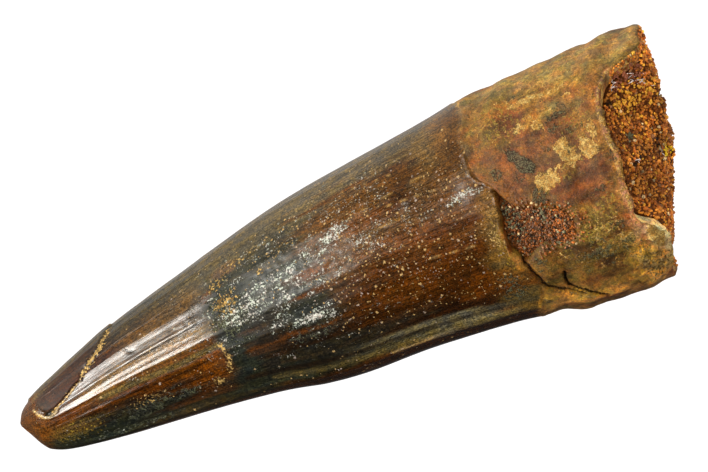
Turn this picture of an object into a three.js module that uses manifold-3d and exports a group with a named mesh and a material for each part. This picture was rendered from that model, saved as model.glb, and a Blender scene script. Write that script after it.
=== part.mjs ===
// A spinosaur tooth with the stump of its root, broken across the base and lying on its side.
// Millimetres. X runs from the tip to the broken base, +Y is the tooth's front edge and -Y its rear edge,
// and +Z is up. Angles go round the tooth in degrees: 0 front edge, 90 top, 180 rear edge, 270 underside.
import * as THREE from "three";
import { mergeVertices } from "three/addons/utils/BufferGeometryUtils.js";
import Module from "manifold-3d";

const wasm = await Module();
wasm.setup();

// ---------- driving dimensions ----------

// The two edges of the tooth seen from above: distance from the tip, then the edge's sideways place.
const FRONT_EDGE = [
  [0, -0.4], [0.5, 0.4], [1.5, 1.15], [4.7, 2.3], [9.2, 3.75], [15.3, 5.2], [22, 6.7],
  [26, 7.4], [32, 8.05], [38, 8.7], [41, 9.15], [44, 9.35], [50, 9.5], [56, 9.3],
];
const REAR_EDGE = [
  [0, -0.4], [0.45, -1.3], [0.9, -2.3], [1.4, -3], [3.1, -3.6], [7.7, -4.3], [13.8, -4.95],
  [19.9, -5.8], [23, -6.5], [26, -6.9], [31, -7.1], [36, -7.55], [39.6, -8.05], [42.7, -8.9],
  [45.7, -9.3], [50, -9.45], [56, -9.4],
];
// Half the thickness of the tooth, which is a little flatter than round.
const HALF_HEIGHT = [
  [0, 0], [0.5, 0.85], [1.5, 1.85], [4.7, 2.8], [9.2, 3.6], [15.3, 4.6], [22, 5.6], [30, 6.55],
  [38, 7.25], [42, 7.75], [46, 8.05], [50, 8.15], [56, 8.05],
];
// Height of the underside before wear: it leaves the surface towards the tip.
const UNDERSIDE = [
  [0, 2], [0.5, 1.15], [1.5, 0.75], [4.7, 0.45], [9.2, 0.25], [15, 0.05], [20, 0], [39, 0],
  [42, -0.2], [56, -0.2],
];
const RESTING_WEAR = 0.15; // depth of the flat strip that the tooth lies on

// Where the enamel ends, and where the root is broken off, at angles round the tooth.
const ENAMEL_EDGE = [
  [0, 39.8], [26, 40.7], [51, 40.2], [70, 40.1], [79, 41.2], [90, 41], [106, 40.4], [116, 40.3],
  [132, 41.4], [156, 40.4], [180, 39.8], [225, 40.6], [270, 40], [315, 39.3], [360, 39.8],
];
const BROKEN_BASE = [
  [0, 55], [22, 55.1], [37, 54.6], [43, 52.4], [54, 51.3], [66, 50.9], [75, 50.8], [83, 51],
  [97, 50.6], [107, 50.4], [114, 50.2], [119, 50.3], [126, 51.4], [132, 51.7], [141, 51.5],
  [152, 51.1], [163, 50.6], [180, 50.5], [205, 50.3], [218, 50.1], [228, 50.4], [241, 51.2],
  [250, 51.8], [260, 52.5], [280, 53.3], [300, 53.7], [315, 54], [342, 54.8], [360, 55],
];
const MEAN_ENAMEL_EDGE = 40.4;
const MEAN_BASE = 52.5;
const ENAMEL_STEP = 0.22; // the root lies this much lower than the enamel

const FLUTES = 18;
const FLUTE_HEIGHT = 0.07;
const FLUTES_RISE = [2, 8]; // distances from the tip between which the flutes and the keels rise
const FLUTES_FADE = [30, 39]; // and between which the flutes die out
const KEELS = [
  { angle: 152, height: 0.3, width: 6 },
  { angle: 348, height: 0.25, width: 6 },
];
// Shallow chips: place along and round the tooth, reach each way and depth.
const CHIPS = [
  { x: 2.2, angle: 95, length: 1.5, sweep: 34, depth: 0.4 },
  { x: 7.2, angle: 46, length: 1.6, sweep: 18, depth: 0.25 },
];
const CHIP_FLOOR = 0.6; // share of its reach over which a chip is at its full depth
const ROOT_LUMP_HEIGHT = 0.1;

const WALL = 1.5; // dentine round the pulp hollow
const PULP_DEPTH = 11;
const PULP_NARROWING = 0.96; // share of its section that the hollow has lost at its blunt end
const RIM_BEVEL = 0.35; // the broken wall slopes this much inwards
const SAND_CLEARANCE = 0.15; // gap between each sandstone piece and the tooth
const SAND_BULGE = 0.5; // how far the middle of the sandstone's broken face stands out
const SAND_LUMP_HEIGHT = 0.22;
const SAND_LUMP_LENGTH = 3.5;

// Outline of the pit at the neck of the crown, seen from above.
const PIT_OUTLINE = [
  [41.3, 1.8], [42.1, 0.3], [43.2, -0.2], [45.5, -1.4], [46.2, -2.3], [45.9, -3.4], [45, -3.9],
  [43.2, -3.5], [41.3, -4.1], [40.5, -2.8], [40.6, -1.2], [41, 0.6],
];
const PIT_CENTRE = [42.9, -1.9];
const PIT_DEEPEST = 1.2; // against the broken edge of the enamel
const PIT_SHALLOWEST = 0.35; // at its root end
const PIT_START = 40.5;
const PIT_END = 46.2;
const PIT_FLARE = 1.04; // the pit's mouth is this much wider than its outline
const CRUST_THICKNESS = 0.45;
const CRUST_REACH = 0.84; // share of the pit's width that the crust covers
const CRUST_LUMP_LENGTH = 2;

// Open cracks seen from above, each with its width and depth.
const CRACKS = [
  { route: [[41.3, -5.7], [41.8, -6.3], [42.4, -6.9]], width: 0.3, depth: 0.7 },
  { route: [[43.4, -5.6], [43.3, -6.5], [43.9, -7.5], [44.7, -8.2], [45.4, -8.75]], width: 0.35, depth: 0.8 },
  { route: [[2.4, -0.7], [3.4, -0.1], [5.9, 0.9], [6.6, 1.5]], width: 0.3, depth: 0.35 },
];

const CRACK_END_OPENING = 0.4; // share of its width and depth that a crack keeps at its ends
const CUT_HEADROOM = 0.6; // how far a cutting shape stands out of the surface

const COLOURS = { tooth: 0x5a2f18, sandstone: 0xa3651f };

// ---------- mesh resolution ----------

const AROUND = 72;
const TIP_STATIONS = [0.12, 0.4, 0.85, 1.4, 2.1, 3, 4.2, 5.6, 7.1];
const CROWN_RINGS = 21;
const ROOT_RINGS = 9;
const LEDGE_LENGTH = 0.3;
const PULP_RINGS = 5;
const FACE_RINGS = 6;
const PIT_AROUND = 36;

// ---------- curves ----------

// A smooth curve through [place, value] pairs, held at its end values beyond them.
function curveThrough(points) {
  const slopes = points.map((_, i) => {
    const before = points[Math.max(i - 1, 0)];
    const after = points[Math.min(i + 1, points.length - 1)];
    return (after[1] - before[1]) / (after[0] - before[0]);
  });
  return (place) => {
    let i = 0;
    while (i < points.length - 2 && place > points[i + 1][0]) i += 1;
    const span = points[i + 1][0] - points[i][0];
    const t = THREE.MathUtils.clamp((place - points[i][0]) / span, 0, 1);
    const rest = 1 - t;
    return points[i][1] * (1 + 2 * t) * rest * rest + slopes[i] * span * t * rest * rest
      + points[i + 1][1] * (3 - 2 * t) * t * t - slopes[i + 1] * span * rest * t * t;
  };
}

const frontEdge = curveThrough(FRONT_EDGE);
const rearEdge = curveThrough(REAR_EDGE);
const halfHeightAt = curveThrough(HALF_HEIGHT);
const undersideAt = curveThrough(UNDERSIDE);
const enamelEdge = curveThrough(ENAMEL_EDGE);
const brokenBase = curveThrough(BROKEN_BASE);

// The oval section at a distance from the tip: its centre, half width and half height.
function sectionAt(x) {
  const halfHeight = halfHeightAt(x);
  return {
    y: (frontEdge(x) + rearEdge(x)) / 2,
    z: undersideAt(x) - RESTING_WEAR + halfHeight,
    halfWidth: (frontEdge(x) - rearEdge(x)) / 2,
    halfHeight,
  };
}

function topHeight(x, y) {
  const section = sectionAt(x);
  const across = THREE.MathUtils.clamp((y - section.y) / section.halfWidth, -1, 1);
  return section.z + section.halfHeight * Math.sqrt(1 - across * across);
}

// Distance along the tooth of a point given by its unworn distance, so that the enamel edge and the broken
// base each run along one ring of the mesh.
function alongTooth(nominal, angle) {
  if (nominal <= MEAN_ENAMEL_EDGE) return (nominal * enamelEdge(angle)) / MEAN_ENAMEL_EDGE;
  const share = (nominal - MEAN_ENAMEL_EDGE) / (MEAN_BASE - MEAN_ENAMEL_EDGE);
  return THREE.MathUtils.lerp(enamelEdge(angle), brokenBase(angle), share);
}

// ---------- relief of the outer surface ----------

function degreesApart(a, b) {
  return Math.abs(((a - b + 540) % 360) - 180);
}

// Uneven swelling of the root, between about -1 and 1.
function rootLumps(x, angle) {
  const turn = THREE.MathUtils.degToRad(angle);
  return Math.sin(1.1 * x + 2 * Math.sin(2 * turn)) * Math.cos(3 * turn + 0.6 * x)
    + 0.5 * Math.sin(2.3 * x + 5 * turn);
}

function chipDepth(chip, x, angle) {
  const along = (x - chip.x) / chip.length;
  const round = degreesApart(angle, chip.angle) / chip.sweep;
  const away = Math.hypot(along, round);
  return chip.depth * (1 - THREE.MathUtils.smoothstep(away, CHIP_FLOOR, 1));
}

function relief(nominal, x, angle) {
  const onCrown = nominal <= MEAN_ENAMEL_EDGE;
  const fromTip = THREE.MathUtils.smoothstep(x, ...FLUTES_RISE);
  const toRoot = 1 - THREE.MathUtils.smoothstep(x, ...FLUTES_FADE);
  const flute = FLUTE_HEIGHT * fromTip * toRoot * Math.cos(THREE.MathUtils.degToRad(FLUTES * angle));
  const keel = KEELS.reduce((sum, each) => {
    const nearness = Math.max(0, 1 - degreesApart(angle, each.angle) / each.width);
    return sum + each.height * nearness;
  }, 0);
  const chips = CHIPS.reduce((sum, each) => sum + chipDepth(each, x, angle), 0);
  if (onCrown) return flute + keel * fromTip - chips;
  return ROOT_LUMP_HEIGHT * rootLumps(x, angle) - ENAMEL_STEP;
}

// ---------- solids ----------

function outerPoint(nominal, angle) {
  const x = alongTooth(nominal, angle);
  const section = sectionAt(x);
  const raised = relief(nominal, x, angle);
  const turn = THREE.MathUtils.degToRad(angle);
  const y = section.y + (section.halfWidth + raised) * Math.cos(turn);
  const z = section.z + (section.halfHeight + raised) * Math.sin(turn);
  return new THREE.Vector3(x, y, Math.max(z, 0));
}

// A point on the wall of the pulp hollow, or that much inside it. Depth is counted from the base.
function hollowPoint(depth, angle, inset) {
  const share = depth / PULP_DEPTH;
  const x = THREE.MathUtils.lerp(brokenBase(angle), MEAN_BASE - PULP_DEPTH, share);
  const section = sectionAt(x);
  const narrowing = Math.sqrt(1 - PULP_NARROWING * share ** 3);
  const turn = THREE.MathUtils.degToRad(angle);
  return new THREE.Vector3(
    x + inset,
    section.y + (section.halfWidth - WALL - inset) * narrowing * Math.cos(turn),
    section.z + (section.halfHeight - WALL - inset) * narrowing * Math.sin(turn),
  );
}

// Rings down the pulp hollow, from its broken rim to its blunt end.
function hollowRings(inset) {
  return Array.from({ length: PULP_RINGS + 1 }, (_, k) => {
    const depth = THREE.MathUtils.lerp(RIM_BEVEL, PULP_DEPTH, Math.sqrt(k / PULP_RINGS));
    return ringOf(AROUND, (angle) => hollowPoint(depth, angle, inset));
  });
}

// A wave of the given length, between -1 and 1.
function waves(place, length) {
  return Math.sin((2 * Math.PI * place) / length);
}

function ringOf(count, pointAt) {
  return Array.from({ length: count }, (_, i) => pointAt((i * 360) / count));
}

function middleOf(ring) {
  return ring.reduce((sum, p) => sum.add(p), new THREE.Vector3()).divideScalar(ring.length);
}

// The closed surface over a row of rings, with a cap of triangles at each end.
function skinOver(rings) {
  const count = rings[0].length;
  const points = [...rings.flat(), middleOf(rings[0]), middleOf(rings.at(-1))];
  const start = points.length - 2;
  const end = points.length - 1;
  const triangles = [];
  for (let i = 0; i < count; i += 1) {
    const next = (i + 1) % count;
    triangles.push(start, next, i);
    for (let k = 0; k < rings.length - 1; k += 1) {
      const here = k * count;
      const beyond = here + count;
      triangles.push(here + i, here + next, beyond + i, here + next, beyond + next, beyond + i);
    }
    const last = (rings.length - 1) * count;
    triangles.push(last + i, last + next, end);
  }
  const geometry = new THREE.BufferGeometry().setFromPoints(points);
  geometry.setIndex(triangles);
  return geometry;
}

function solidOf(geometry) {
  const merged = mergeVertices(geometry, 1e-4);
  return new wasm.Manifold(new wasm.Mesh({
    numProp: 3,
    vertProperties: merged.attributes.position.array,
    triVerts: merged.index.array,
  }));
}

function geometryOf(solid) {
  const mesh = solid.getMesh();
  const geometry = new THREE.BufferGeometry();
  geometry.setAttribute("position", new THREE.BufferAttribute(mesh.vertProperties, 3));
  geometry.setIndex(new THREE.BufferAttribute(mesh.triVerts, 1));
  return geometry;
}

function toothBody() {
  const crownStart = TIP_STATIONS.at(-1);
  const stations = [...TIP_STATIONS];
  for (let k = 1; k <= CROWN_RINGS; k += 1) {
    stations.push(THREE.MathUtils.lerp(crownStart, MEAN_ENAMEL_EDGE, k / CROWN_RINGS));
  }
  const rootStart = MEAN_ENAMEL_EDGE + LEDGE_LENGTH;
  for (let k = 0; k <= ROOT_RINGS; k += 1) {
    stations.push(THREE.MathUtils.lerp(rootStart, MEAN_BASE, k / ROOT_RINGS));
  }
  const outside = stations.map((x) => ringOf(AROUND, (angle) => outerPoint(x, angle)));
  return solidOf(skinOver([...outside, ...hollowRings(0)]));
}

function pitDepth(x) {
  const share = THREE.MathUtils.smoothstep(x, PIT_START, PIT_END);
  return THREE.MathUtils.lerp(PIT_DEEPEST, PIT_SHALLOWEST, share);
}

// The pit's outline shrunk towards its centre, at a height that is given for each point.
function pitRing(scale, heightAt) {
  const corners = PIT_OUTLINE.map(([x, y]) => new THREE.Vector3(x, y, 0));
  const outline = new THREE.CatmullRomCurve3(corners, true);
  return Array.from({ length: PIT_AROUND }, (_, i) => {
    const edge = outline.getPoint(i / PIT_AROUND);
    const x = THREE.MathUtils.lerp(PIT_CENTRE[0], edge.x, scale);
    const y = THREE.MathUtils.lerp(PIT_CENTRE[1], edge.y, scale);
    return new THREE.Vector3(x, y, heightAt(x, y));
  });
}

function pitFloor(x, y) {
  return topHeight(x, y) - pitDepth(x);
}

function pitCut() {
  const above = (x, y) => topHeight(x, y) + CUT_HEADROOM;
  const halfWayDown = (x, y) => topHeight(x, y) - pitDepth(x) / 2;
  return solidOf(skinOver([
    pitRing(PIT_FLARE / 2, above),
    pitRing(PIT_FLARE, above),
    pitRing(1, halfWayDown),
    pitRing(0.9, pitFloor),
    pitRing(0.6, pitFloor),
    pitRing(0.3, pitFloor),
  ]));
}

// A wedge that follows a route over the top of the tooth and narrows towards both of its ends.
function crackCut({ route, width, depth }) {
  const middle = new THREE.CatmullRomCurve3(route.map(([x, y]) => new THREE.Vector3(x, y, 0)));
  const rings = route.map((_, k) => {
    const t = k / (route.length - 1);
    const at = middle.getPoint(t);
    const along = middle.getTangent(t);
    const opening = CRACK_END_OPENING + (1 - CRACK_END_OPENING) * Math.sin(Math.PI * t);
    const side = new THREE.Vector3(-along.y, along.x, 0).multiplyScalar(width * opening);
    const above = topHeight(at.x, at.y) + CUT_HEADROOM;
    return [
      at.clone().sub(side).setZ(above),
      at.clone().setZ(topHeight(at.x, at.y) - depth * opening),
      at.clone().add(side).setZ(above),
    ];
  });
  return solidOf(skinOver(rings));
}

function makeTooth() {
  const cuts = [pitCut(), ...CRACKS.map(crackCut)];
  const worn = cuts.reduce((body, cut) => body.subtract(cut), toothBody());
  return geometryOf(worn);
}

// The sandstone in the pulp hollow, with the lumpy face that it shows at the broken end.
function makePulpSandstone() {
  const sides = hollowRings(SAND_CLEARANCE).reverse();
  const rim = sides.at(-1);
  const middle = middleOf(rim);
  const face = [];
  for (let k = 1; k < FACE_RINGS; k += 1) {
    const out = 1 - k / FACE_RINGS;
    face.push(rim.map((edge) => {
      const point = middle.clone().lerp(edge, out);
      const lumps = waves(point.y, SAND_LUMP_LENGTH) * waves(point.z, SAND_LUMP_LENGTH);
      point.x += SAND_BULGE * (1 - out * out) + SAND_LUMP_HEIGHT * lumps;
      return point;
    }));
  }
  return skinOver([...sides, ...face]);
}

// The crust of sand grains on the floor of the pit.
function makePitSandstone() {
  const under = (x, y) => pitFloor(x, y) + SAND_CLEARANCE;
  const over = (x, y) => {
    const lumps = waves(x, CRUST_LUMP_LENGTH) * waves(y, CRUST_LUMP_LENGTH);
    return under(x, y) + (CRUST_THICKNESS * (2 + lumps)) / 3;
  };
  const halfWayUp = (x, y) => (under(x, y) + over(x, y)) / 2;
  const inwards = [0.95, 0.7, 0.35].map((share) => share * CRUST_REACH);
  return skinOver([
    ...inwards.toReversed().map((scale) => pitRing(scale, over)),
    pitRing(CRUST_REACH, halfWayUp),
    ...inwards.map((scale) => pitRing(scale, under)),
  ]);
}

// ---------- assembly ----------

function named(name, geometry, colour, roughness) {
  const material = new THREE.MeshStandardMaterial({ color: colour, roughness, metalness: 0 });
  const mesh = new THREE.Mesh(geometry, material);
  mesh.name = name;
  return mesh;
}

const fossil = new THREE.Group();
fossil.add(
  named("tooth", makeTooth(), COLOURS.tooth, 0.35),
  named("pulp_sandstone", makePulpSandstone(), COLOURS.sandstone, 0.9),
  named("pit_sandstone", makePitSandstone(), COLOURS.sandstone, 0.9),
);
const middle = new THREE.Box3().setFromObject(fossil).getCenter(new THREE.Vector3());
fossil.position.set(-middle.x, -middle.y, 0);

export default fossil;
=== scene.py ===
"""The finish of a spinosaur tooth that lies on its side, over the solids that the frame holds.

Lengths are millimetres in the tooth's own measure: x runs from the tip to the broken base, y across the
tooth with its front edge positive, and z up. Angles go round the tooth in degrees: 0 front edge, 90 top,
180 rear edge, 270 underside. Meshes turn into metres in the frame when they are made.
"""
import math

import bmesh
import bpy
import numpy as np
from mathutils import Matrix, Vector


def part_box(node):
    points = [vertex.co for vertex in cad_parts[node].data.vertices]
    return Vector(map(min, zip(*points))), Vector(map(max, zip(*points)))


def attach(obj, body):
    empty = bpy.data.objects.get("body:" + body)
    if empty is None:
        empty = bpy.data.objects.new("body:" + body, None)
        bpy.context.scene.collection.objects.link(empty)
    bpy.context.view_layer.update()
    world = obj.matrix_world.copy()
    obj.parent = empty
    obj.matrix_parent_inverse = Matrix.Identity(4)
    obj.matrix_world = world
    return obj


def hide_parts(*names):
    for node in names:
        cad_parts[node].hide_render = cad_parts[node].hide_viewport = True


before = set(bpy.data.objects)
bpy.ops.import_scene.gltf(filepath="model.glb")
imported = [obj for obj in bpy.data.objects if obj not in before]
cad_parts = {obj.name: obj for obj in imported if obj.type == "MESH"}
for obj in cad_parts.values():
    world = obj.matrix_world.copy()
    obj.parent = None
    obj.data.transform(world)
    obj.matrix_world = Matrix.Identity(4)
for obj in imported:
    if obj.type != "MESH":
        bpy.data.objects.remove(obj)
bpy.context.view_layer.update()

MM = 0.001

# ---------- the tooth's form, as in the solids ----------

FRONT_EDGE = [
    (0, -0.4), (0.5, 0.4), (1.5, 1.15), (4.7, 2.3), (9.2, 3.75), (15.3, 5.2), (22, 6.7),
    (26, 7.4), (32, 8.05), (38, 8.7), (41, 9.15), (44, 9.35), (50, 9.5), (56, 9.3),
]
REAR_EDGE = [
    (0, -0.4), (0.45, -1.3), (0.9, -2.3), (1.4, -3), (3.1, -3.6), (7.7, -4.3), (13.8, -4.95),
    (19.9, -5.8), (23, -6.5), (26, -6.9), (31, -7.1), (36, -7.55), (39.6, -8.05), (42.7, -8.9),
    (45.7, -9.3), (50, -9.45), (56, -9.4),
]
HALF_HEIGHT = [
    (0, 0), (0.5, 0.85), (1.5, 1.85), (4.7, 2.8), (9.2, 3.6), (15.3, 4.6), (22, 5.6), (30, 6.55),
    (38, 7.25), (42, 7.75), (46, 8.05), (50, 8.15), (56, 8.05),
]
UNDERSIDE = [
    (0, 2), (0.5, 1.15), (1.5, 0.75), (4.7, 0.45), (9.2, 0.25), (15, 0.05), (20, 0), (39, 0),
    (42, -0.2), (56, -0.2),
]
RESTING_WEAR = 0.15
ENAMEL_EDGE = [
    (0, 39.8), (26, 40.7), (51, 40.2), (70, 40.1), (79, 41.2), (90, 41), (106, 40.4), (116, 40.3),
    (132, 41.4), (156, 40.4), (180, 39.8), (225, 40.6), (270, 40), (315, 39.3), (360, 39.8),
]
BROKEN_BASE = [
    (0, 55), (22, 55.1), (37, 54.6), (43, 52.4), (54, 51.3), (66, 50.9), (75, 50.8), (83, 51),
    (97, 50.6), (107, 50.4), (114, 50.2), (119, 50.3), (126, 51.4), (132, 51.7), (141, 51.5),
    (152, 51.1), (163, 50.6), (180, 50.5), (205, 50.3), (218, 50.1), (228, 50.4), (241, 51.2),
    (250, 51.8), (260, 52.5), (280, 53.3), (300, 53.7), (315, 54), (342, 54.8), (360, 55),
]
MEAN_ENAMEL_EDGE = 40.4
MEAN_BASE = 52.5
ENAMEL_STEP = 0.22
ROOT_LUMP_HEIGHT = 0.1
KEELS = [(152, 0.3, 6), (348, 0.25, 6)]  # angle, height and half width in degrees
WALL = 1.5
PULP_DEPTH = 11
PULP_NARROWING = 0.96
RIM_BEVEL = 0.35
TIP_SWELLING = 0.12
TIP_BLUNTNESS = 0.2  # how far the tip stands out along the tooth
EDGE_WEAR = 0.35
EDGE_CHIPS = 0.16
SHARPER_EDGE = (80, 72)  # where the broken edge is little worn: angle and reach either way
SAND_CLEARANCE = 0.15
SAND_BULGE = 1.2
PIT_OUTLINE = [
    (41.3, 1.8), (42.1, 0.3), (43.2, -0.2), (45.5, -1.4), (46.2, -2.3), (45.9, -3.4), (45, -3.9),
    (43.2, -3.5), (41.3, -4.1), (40.5, -2.8), (40.6, -1.2), (41, 0.6),
]
PIT_DEEPEST = 1.2
PIT_SHALLOWEST = 0.35
PIT_START = 40.5
PIT_END = 46.2
FIRST_STATION = 0.118  # where the solid's tip is cut off, which is the frame's lowest x
SIDEWAYS_MIDDLE = 0.018  # the frame's middle line in the tooth's own y

# ---------- mesh resolution ----------

# Stretches of the outer surface by unworn distance from the tip, with the number of rings on each.
RINGS = [
    (0.02, 1.5, 22), (1.5, 9, 66), (9, 37.5, 176), (37.5, 40.4, 24), (MEAN_ENAMEL_EDGE, 40.5, 1),
    (40.5, 47, 60), (47, 52.5, 46),
]
COLUMNS = 212
TOP_CROWDING = 0.45  # how much closer the columns stand on top than on average
RIM_RINGS = 12
HOLLOW_RINGS = 6

# ---------- small tools ----------


def curve_through(points):
    """A smooth curve through (place, value) pairs, held at its end values beyond them."""
    places, values = np.array(points, float).T
    last = len(places) - 1
    before = np.maximum(np.arange(last + 1) - 1, 0)
    after = np.minimum(np.arange(last + 1) + 1, last)
    slopes = (values[after] - values[before]) / (places[after] - places[before])

    def at(place):
        i = np.clip(np.searchsorted(places, place) - 1, 0, last - 1)
        span = places[i + 1] - places[i]
        t = clamp((place - places[i]) / span)
        rest = 1 - t
        return (
            values[i] * (1 + 2 * t) * rest**2 + slopes[i] * span * t * rest**2
            + values[i + 1] * (3 - 2 * t) * t**2 - slopes[i + 1] * span * rest * t**2
        )

    return at


def lerp(a, b, share):
    return a + (b - a) * share


def smoothstep(value, low, high):
    t = clamp((value - low) / (high - low))
    return t * t * (3 - 2 * t)


def clamp(value):
    return np.clip(value, 0, 1)


def within(distance, reach, soft):
    """1 inside the reach and 0 outside it, with a soft edge."""
    return 1 - smoothstep(distance, reach - soft, reach + soft)


def degrees_apart(a, b):
    """The signed turn from b to a, between -180 and 180."""
    return (a - b + 180) % 360 - 180


def linear(colour):
    """A colour given as red, green and blue from 0 to 255, as the shaders need it."""
    return (np.asarray(colour, float) / 255) ** 2.2


NOISE_CELLS = 32


def noise(x, y, z, size, seed):
    """Smooth noise between -1 and 1 whose lumps are about size across."""
    table = np.random.default_rng(seed).uniform(-1, 1, (NOISE_CELLS,) * 3)
    parts = [np.asarray(part, float) / size for part in (x, y, z)]
    floors = [np.floor(part) for part in parts]
    shares = [part - floor for part, floor in zip(parts, floors)]
    shares = [share * share * (3 - 2 * share) for share in shares]
    cells = [floor.astype(int) for floor in floors]
    total = 0
    for corner in np.ndindex(2, 2, 2):
        weight = 1
        for share, step in zip(shares, corner):
            weight = weight * (share if step else 1 - share)
        index = tuple((cell + step) % NOISE_CELLS for cell, step in zip(cells, corner))
        total = total + weight * table[index]
    return total


def segments_distance(u, v, points):
    """Distance from every (u, v) to the line through the points."""
    nearest = np.full(np.shape(u), np.inf)
    for (u0, v0), (u1, v1) in zip(points[:-1], points[1:]):
        length = (u1 - u0) ** 2 + (v1 - v0) ** 2
        t = clamp(((u - u0) * (u1 - u0) + (v - v0) * (v1 - v0)) / length)
        nearest = np.minimum(nearest, np.hypot(u - lerp(u0, u1, t), v - lerp(v0, v1, t)))
    return nearest


def depth_inside(u, v, outline):
    """Distance to a closed outline, positive inside it and negative outside."""
    closed = [*outline, outline[0]]
    inside = np.zeros(np.shape(u), bool)
    for (u0, v0), (u1, v1) in zip(closed[:-1], closed[1:]):
        if v0 == v1:
            continue
        crosses = (v0 > v) != (v1 > v)
        inside ^= crosses & (u < u0 + (v - v0) * (u1 - u0) / (v1 - v0))
    return np.where(inside, 1, -1) * segments_distance(u, v, closed)


front_edge = curve_through(FRONT_EDGE)
rear_edge = curve_through(REAR_EDGE)
half_height_at = curve_through(HALF_HEIGHT)
underside_at = curve_through(UNDERSIDE)
enamel_edge = curve_through(ENAMEL_EDGE)
broken_base = curve_through(BROKEN_BASE)


def section_at(x):
    """The oval section at a distance from the tip: centre y and z, half width and half height."""
    half_height = half_height_at(x)
    y = (front_edge(x) + rear_edge(x)) / 2
    z = underside_at(x) - RESTING_WEAR + half_height
    return y, z, (front_edge(x) - rear_edge(x)) / 2, half_height


def top_height(x, y):
    y_mid, z_mid, half_width, half_height = section_at(x)
    across = np.clip((y - y_mid) / half_width, -1, 1)
    return z_mid + half_height * np.sqrt(1 - across**2)


def girth_at(x):
    """Mean radius of the section."""
    _, _, half_width, half_height = section_at(x)
    return (half_width + half_height) / 2


# ---------- meshes ----------


def to_frame(points):
    """Points in the tooth's own millimetres, moved to the frame, in metres."""
    low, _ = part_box("tooth")
    shift = np.array([low.x / MM - FIRST_STATION, -SIDEWAYS_MIDDLE, 0])
    return (np.asarray(points) + shift) * MM


def mesh_piece(name, points, faces, material, smooth=True):
    """A mesh object from points in the tooth's own millimetres."""
    mesh = bpy.data.meshes.new(name)
    mesh.from_pydata(to_frame(points).tolist(), [], faces)
    mesh.polygons.foreach_set("use_smooth", np.full(len(mesh.polygons), smooth))
    mesh.materials.append(material)
    mesh.update()
    piece = bpy.data.objects.new(name, mesh)
    bpy.context.scene.collection.objects.link(piece)
    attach(piece, "root")
    return piece


def put_values(piece, name, values):
    """Stores a number or a vector with each vertex."""
    kind, field = ("FLOAT", "value") if values.ndim == 1 else ("FLOAT_VECTOR", "vector")
    stored = piece.data.attributes.new(name, kind, "POINT")
    stored.data.foreach_set(field, values.astype(np.float32).ravel())


def put_map(piece, corners):
    """Gives every corner of every face its place on the map named OFBake."""
    layer = piece.data.uv_layers.new(name="OFBake")
    layer.data.foreach_set("uv", np.asarray(corners, np.float32).ravel())


def tube_faces(rings, columns):
    """Faces between neighbouring rings, and their places on the map."""
    ring, column = np.meshgrid(np.arange(rings - 1), np.arange(columns), indexing="ij")
    beside = (column + 1) % columns
    here = ring * columns
    faces = np.stack([here + column, here + beside, here + columns + beside, here + columns + column], -1)
    across = np.stack([column, column + 1, column + 1, column], -1) / columns
    along = np.stack([ring, ring, ring + 1, ring + 1], -1) / (rings - 1)
    return faces.reshape(-1, 4), np.stack([across, along], -1).reshape(-1, 4, 2)


# ---------- shaders ----------


class Nodes:
    """Shader nodes, made one at a time. A value that is a socket is linked."""

    def __init__(self, tree):
        self.tree = tree

    def feed(self, socket, value):
        if isinstance(value, bpy.types.NodeSocket):
            self.tree.links.new(value, socket)
        else:
            socket.default_value = value

    def node(self, kind, inputs, output=0, **settings):
        made = self.tree.nodes.new("ShaderNode" + kind)
        for name, value in settings.items():
            setattr(made, name, value)
        for name, value in inputs.items():
            self.feed(made.inputs[name], value)
        return made.outputs[output]

    def stored(self, name, output="Fac"):
        return self.node("Attribute", {}, output, attribute_name=name)

    def math(self, operation, total, *others):
        """The values joined one after the other by Math nodes."""
        for value in others:
            total = self.node("Math", {0: total, 1: value}, operation=operation)
        return total

    def add(self, *values):
        return self.math("ADD", *values)

    def less(self, *values):
        return self.math("SUBTRACT", *values)

    def times(self, *values):
        return self.math("MULTIPLY", *values)

    def most(self, *values):
        return self.math("MAXIMUM", *values)

    def size_of(self, value):
        return self.node("Math", {0: value}, operation="ABSOLUTE")

    def vector(self, operation, a, b, output=0):
        return self.node("VectorMath", {0: a, 1: b}, output, operation=operation)

    def scale(self, colour, amount):
        return self.node("VectorMath", {0: colour, "Scale": amount}, operation="SCALE")

    def step(self, value, low, high, start=0.0, end=1.0):
        """A soft step from start to end while the value goes from low to high."""
        inputs = {"Value": value, "From Min": low, "From Max": high, "To Min": start, "To Max": end}
        return self.node("MapRange", inputs, interpolation_type="SMOOTHSTEP")

    def steps(self, *rows):
        """The product of some steps, each a row of value, low, high, start and end."""
        return self.times(*(self.step(*row) for row in rows))

    def mix(self, share, a, b):
        a = a if isinstance(a, bpy.types.NodeSocket) else (*a, 1)
        b = b if isinstance(b, bpy.types.NodeSocket) else (*b, 1)
        return self.node("Mix", {0: share, 6: a, 7: b}, 2, data_type="RGBA")

    def lumps(self, place, size, detail=2.0, rough=0.6, output=0):
        inputs = {"Vector": place, "Scale": 1 / (size * MM), "Detail": detail, "Roughness": rough}
        return self.node("TexNoise", inputs, output)

    def cells(self, place, size, output):
        return self.node("TexVoronoi", {"Vector": place, "Scale": 1 / (size * MM)}, output)

    def draw(self, place, size, channel="Red"):
        """A random number for each cell."""
        return self.node("SeparateColor", {"Color": self.cells(place, size, "Color")}, channel)


class Shader(Nodes):
    """A procedural material."""

    def __init__(self, name):
        self.material = bpy.data.materials.new(name)
        self.material.use_nodes = True
        super().__init__(self.material.node_tree)
        self.surface = self.tree.nodes["Principled BSDF"]

    def set(self, **values):
        for name, value in values.items():
            self.feed(self.surface.inputs[name.replace("_", " ")], value)

    def bump(self, height):
        """Height in millimetres."""
        inputs = {"Height": height, "Distance": MM, "Strength": 1.0}
        self.set(Normal=self.node("Bump", inputs))


# ---------- places on the skin of the tooth ----------

FAN_RADIUS = 7
FAN_STRETCH = 9


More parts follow.
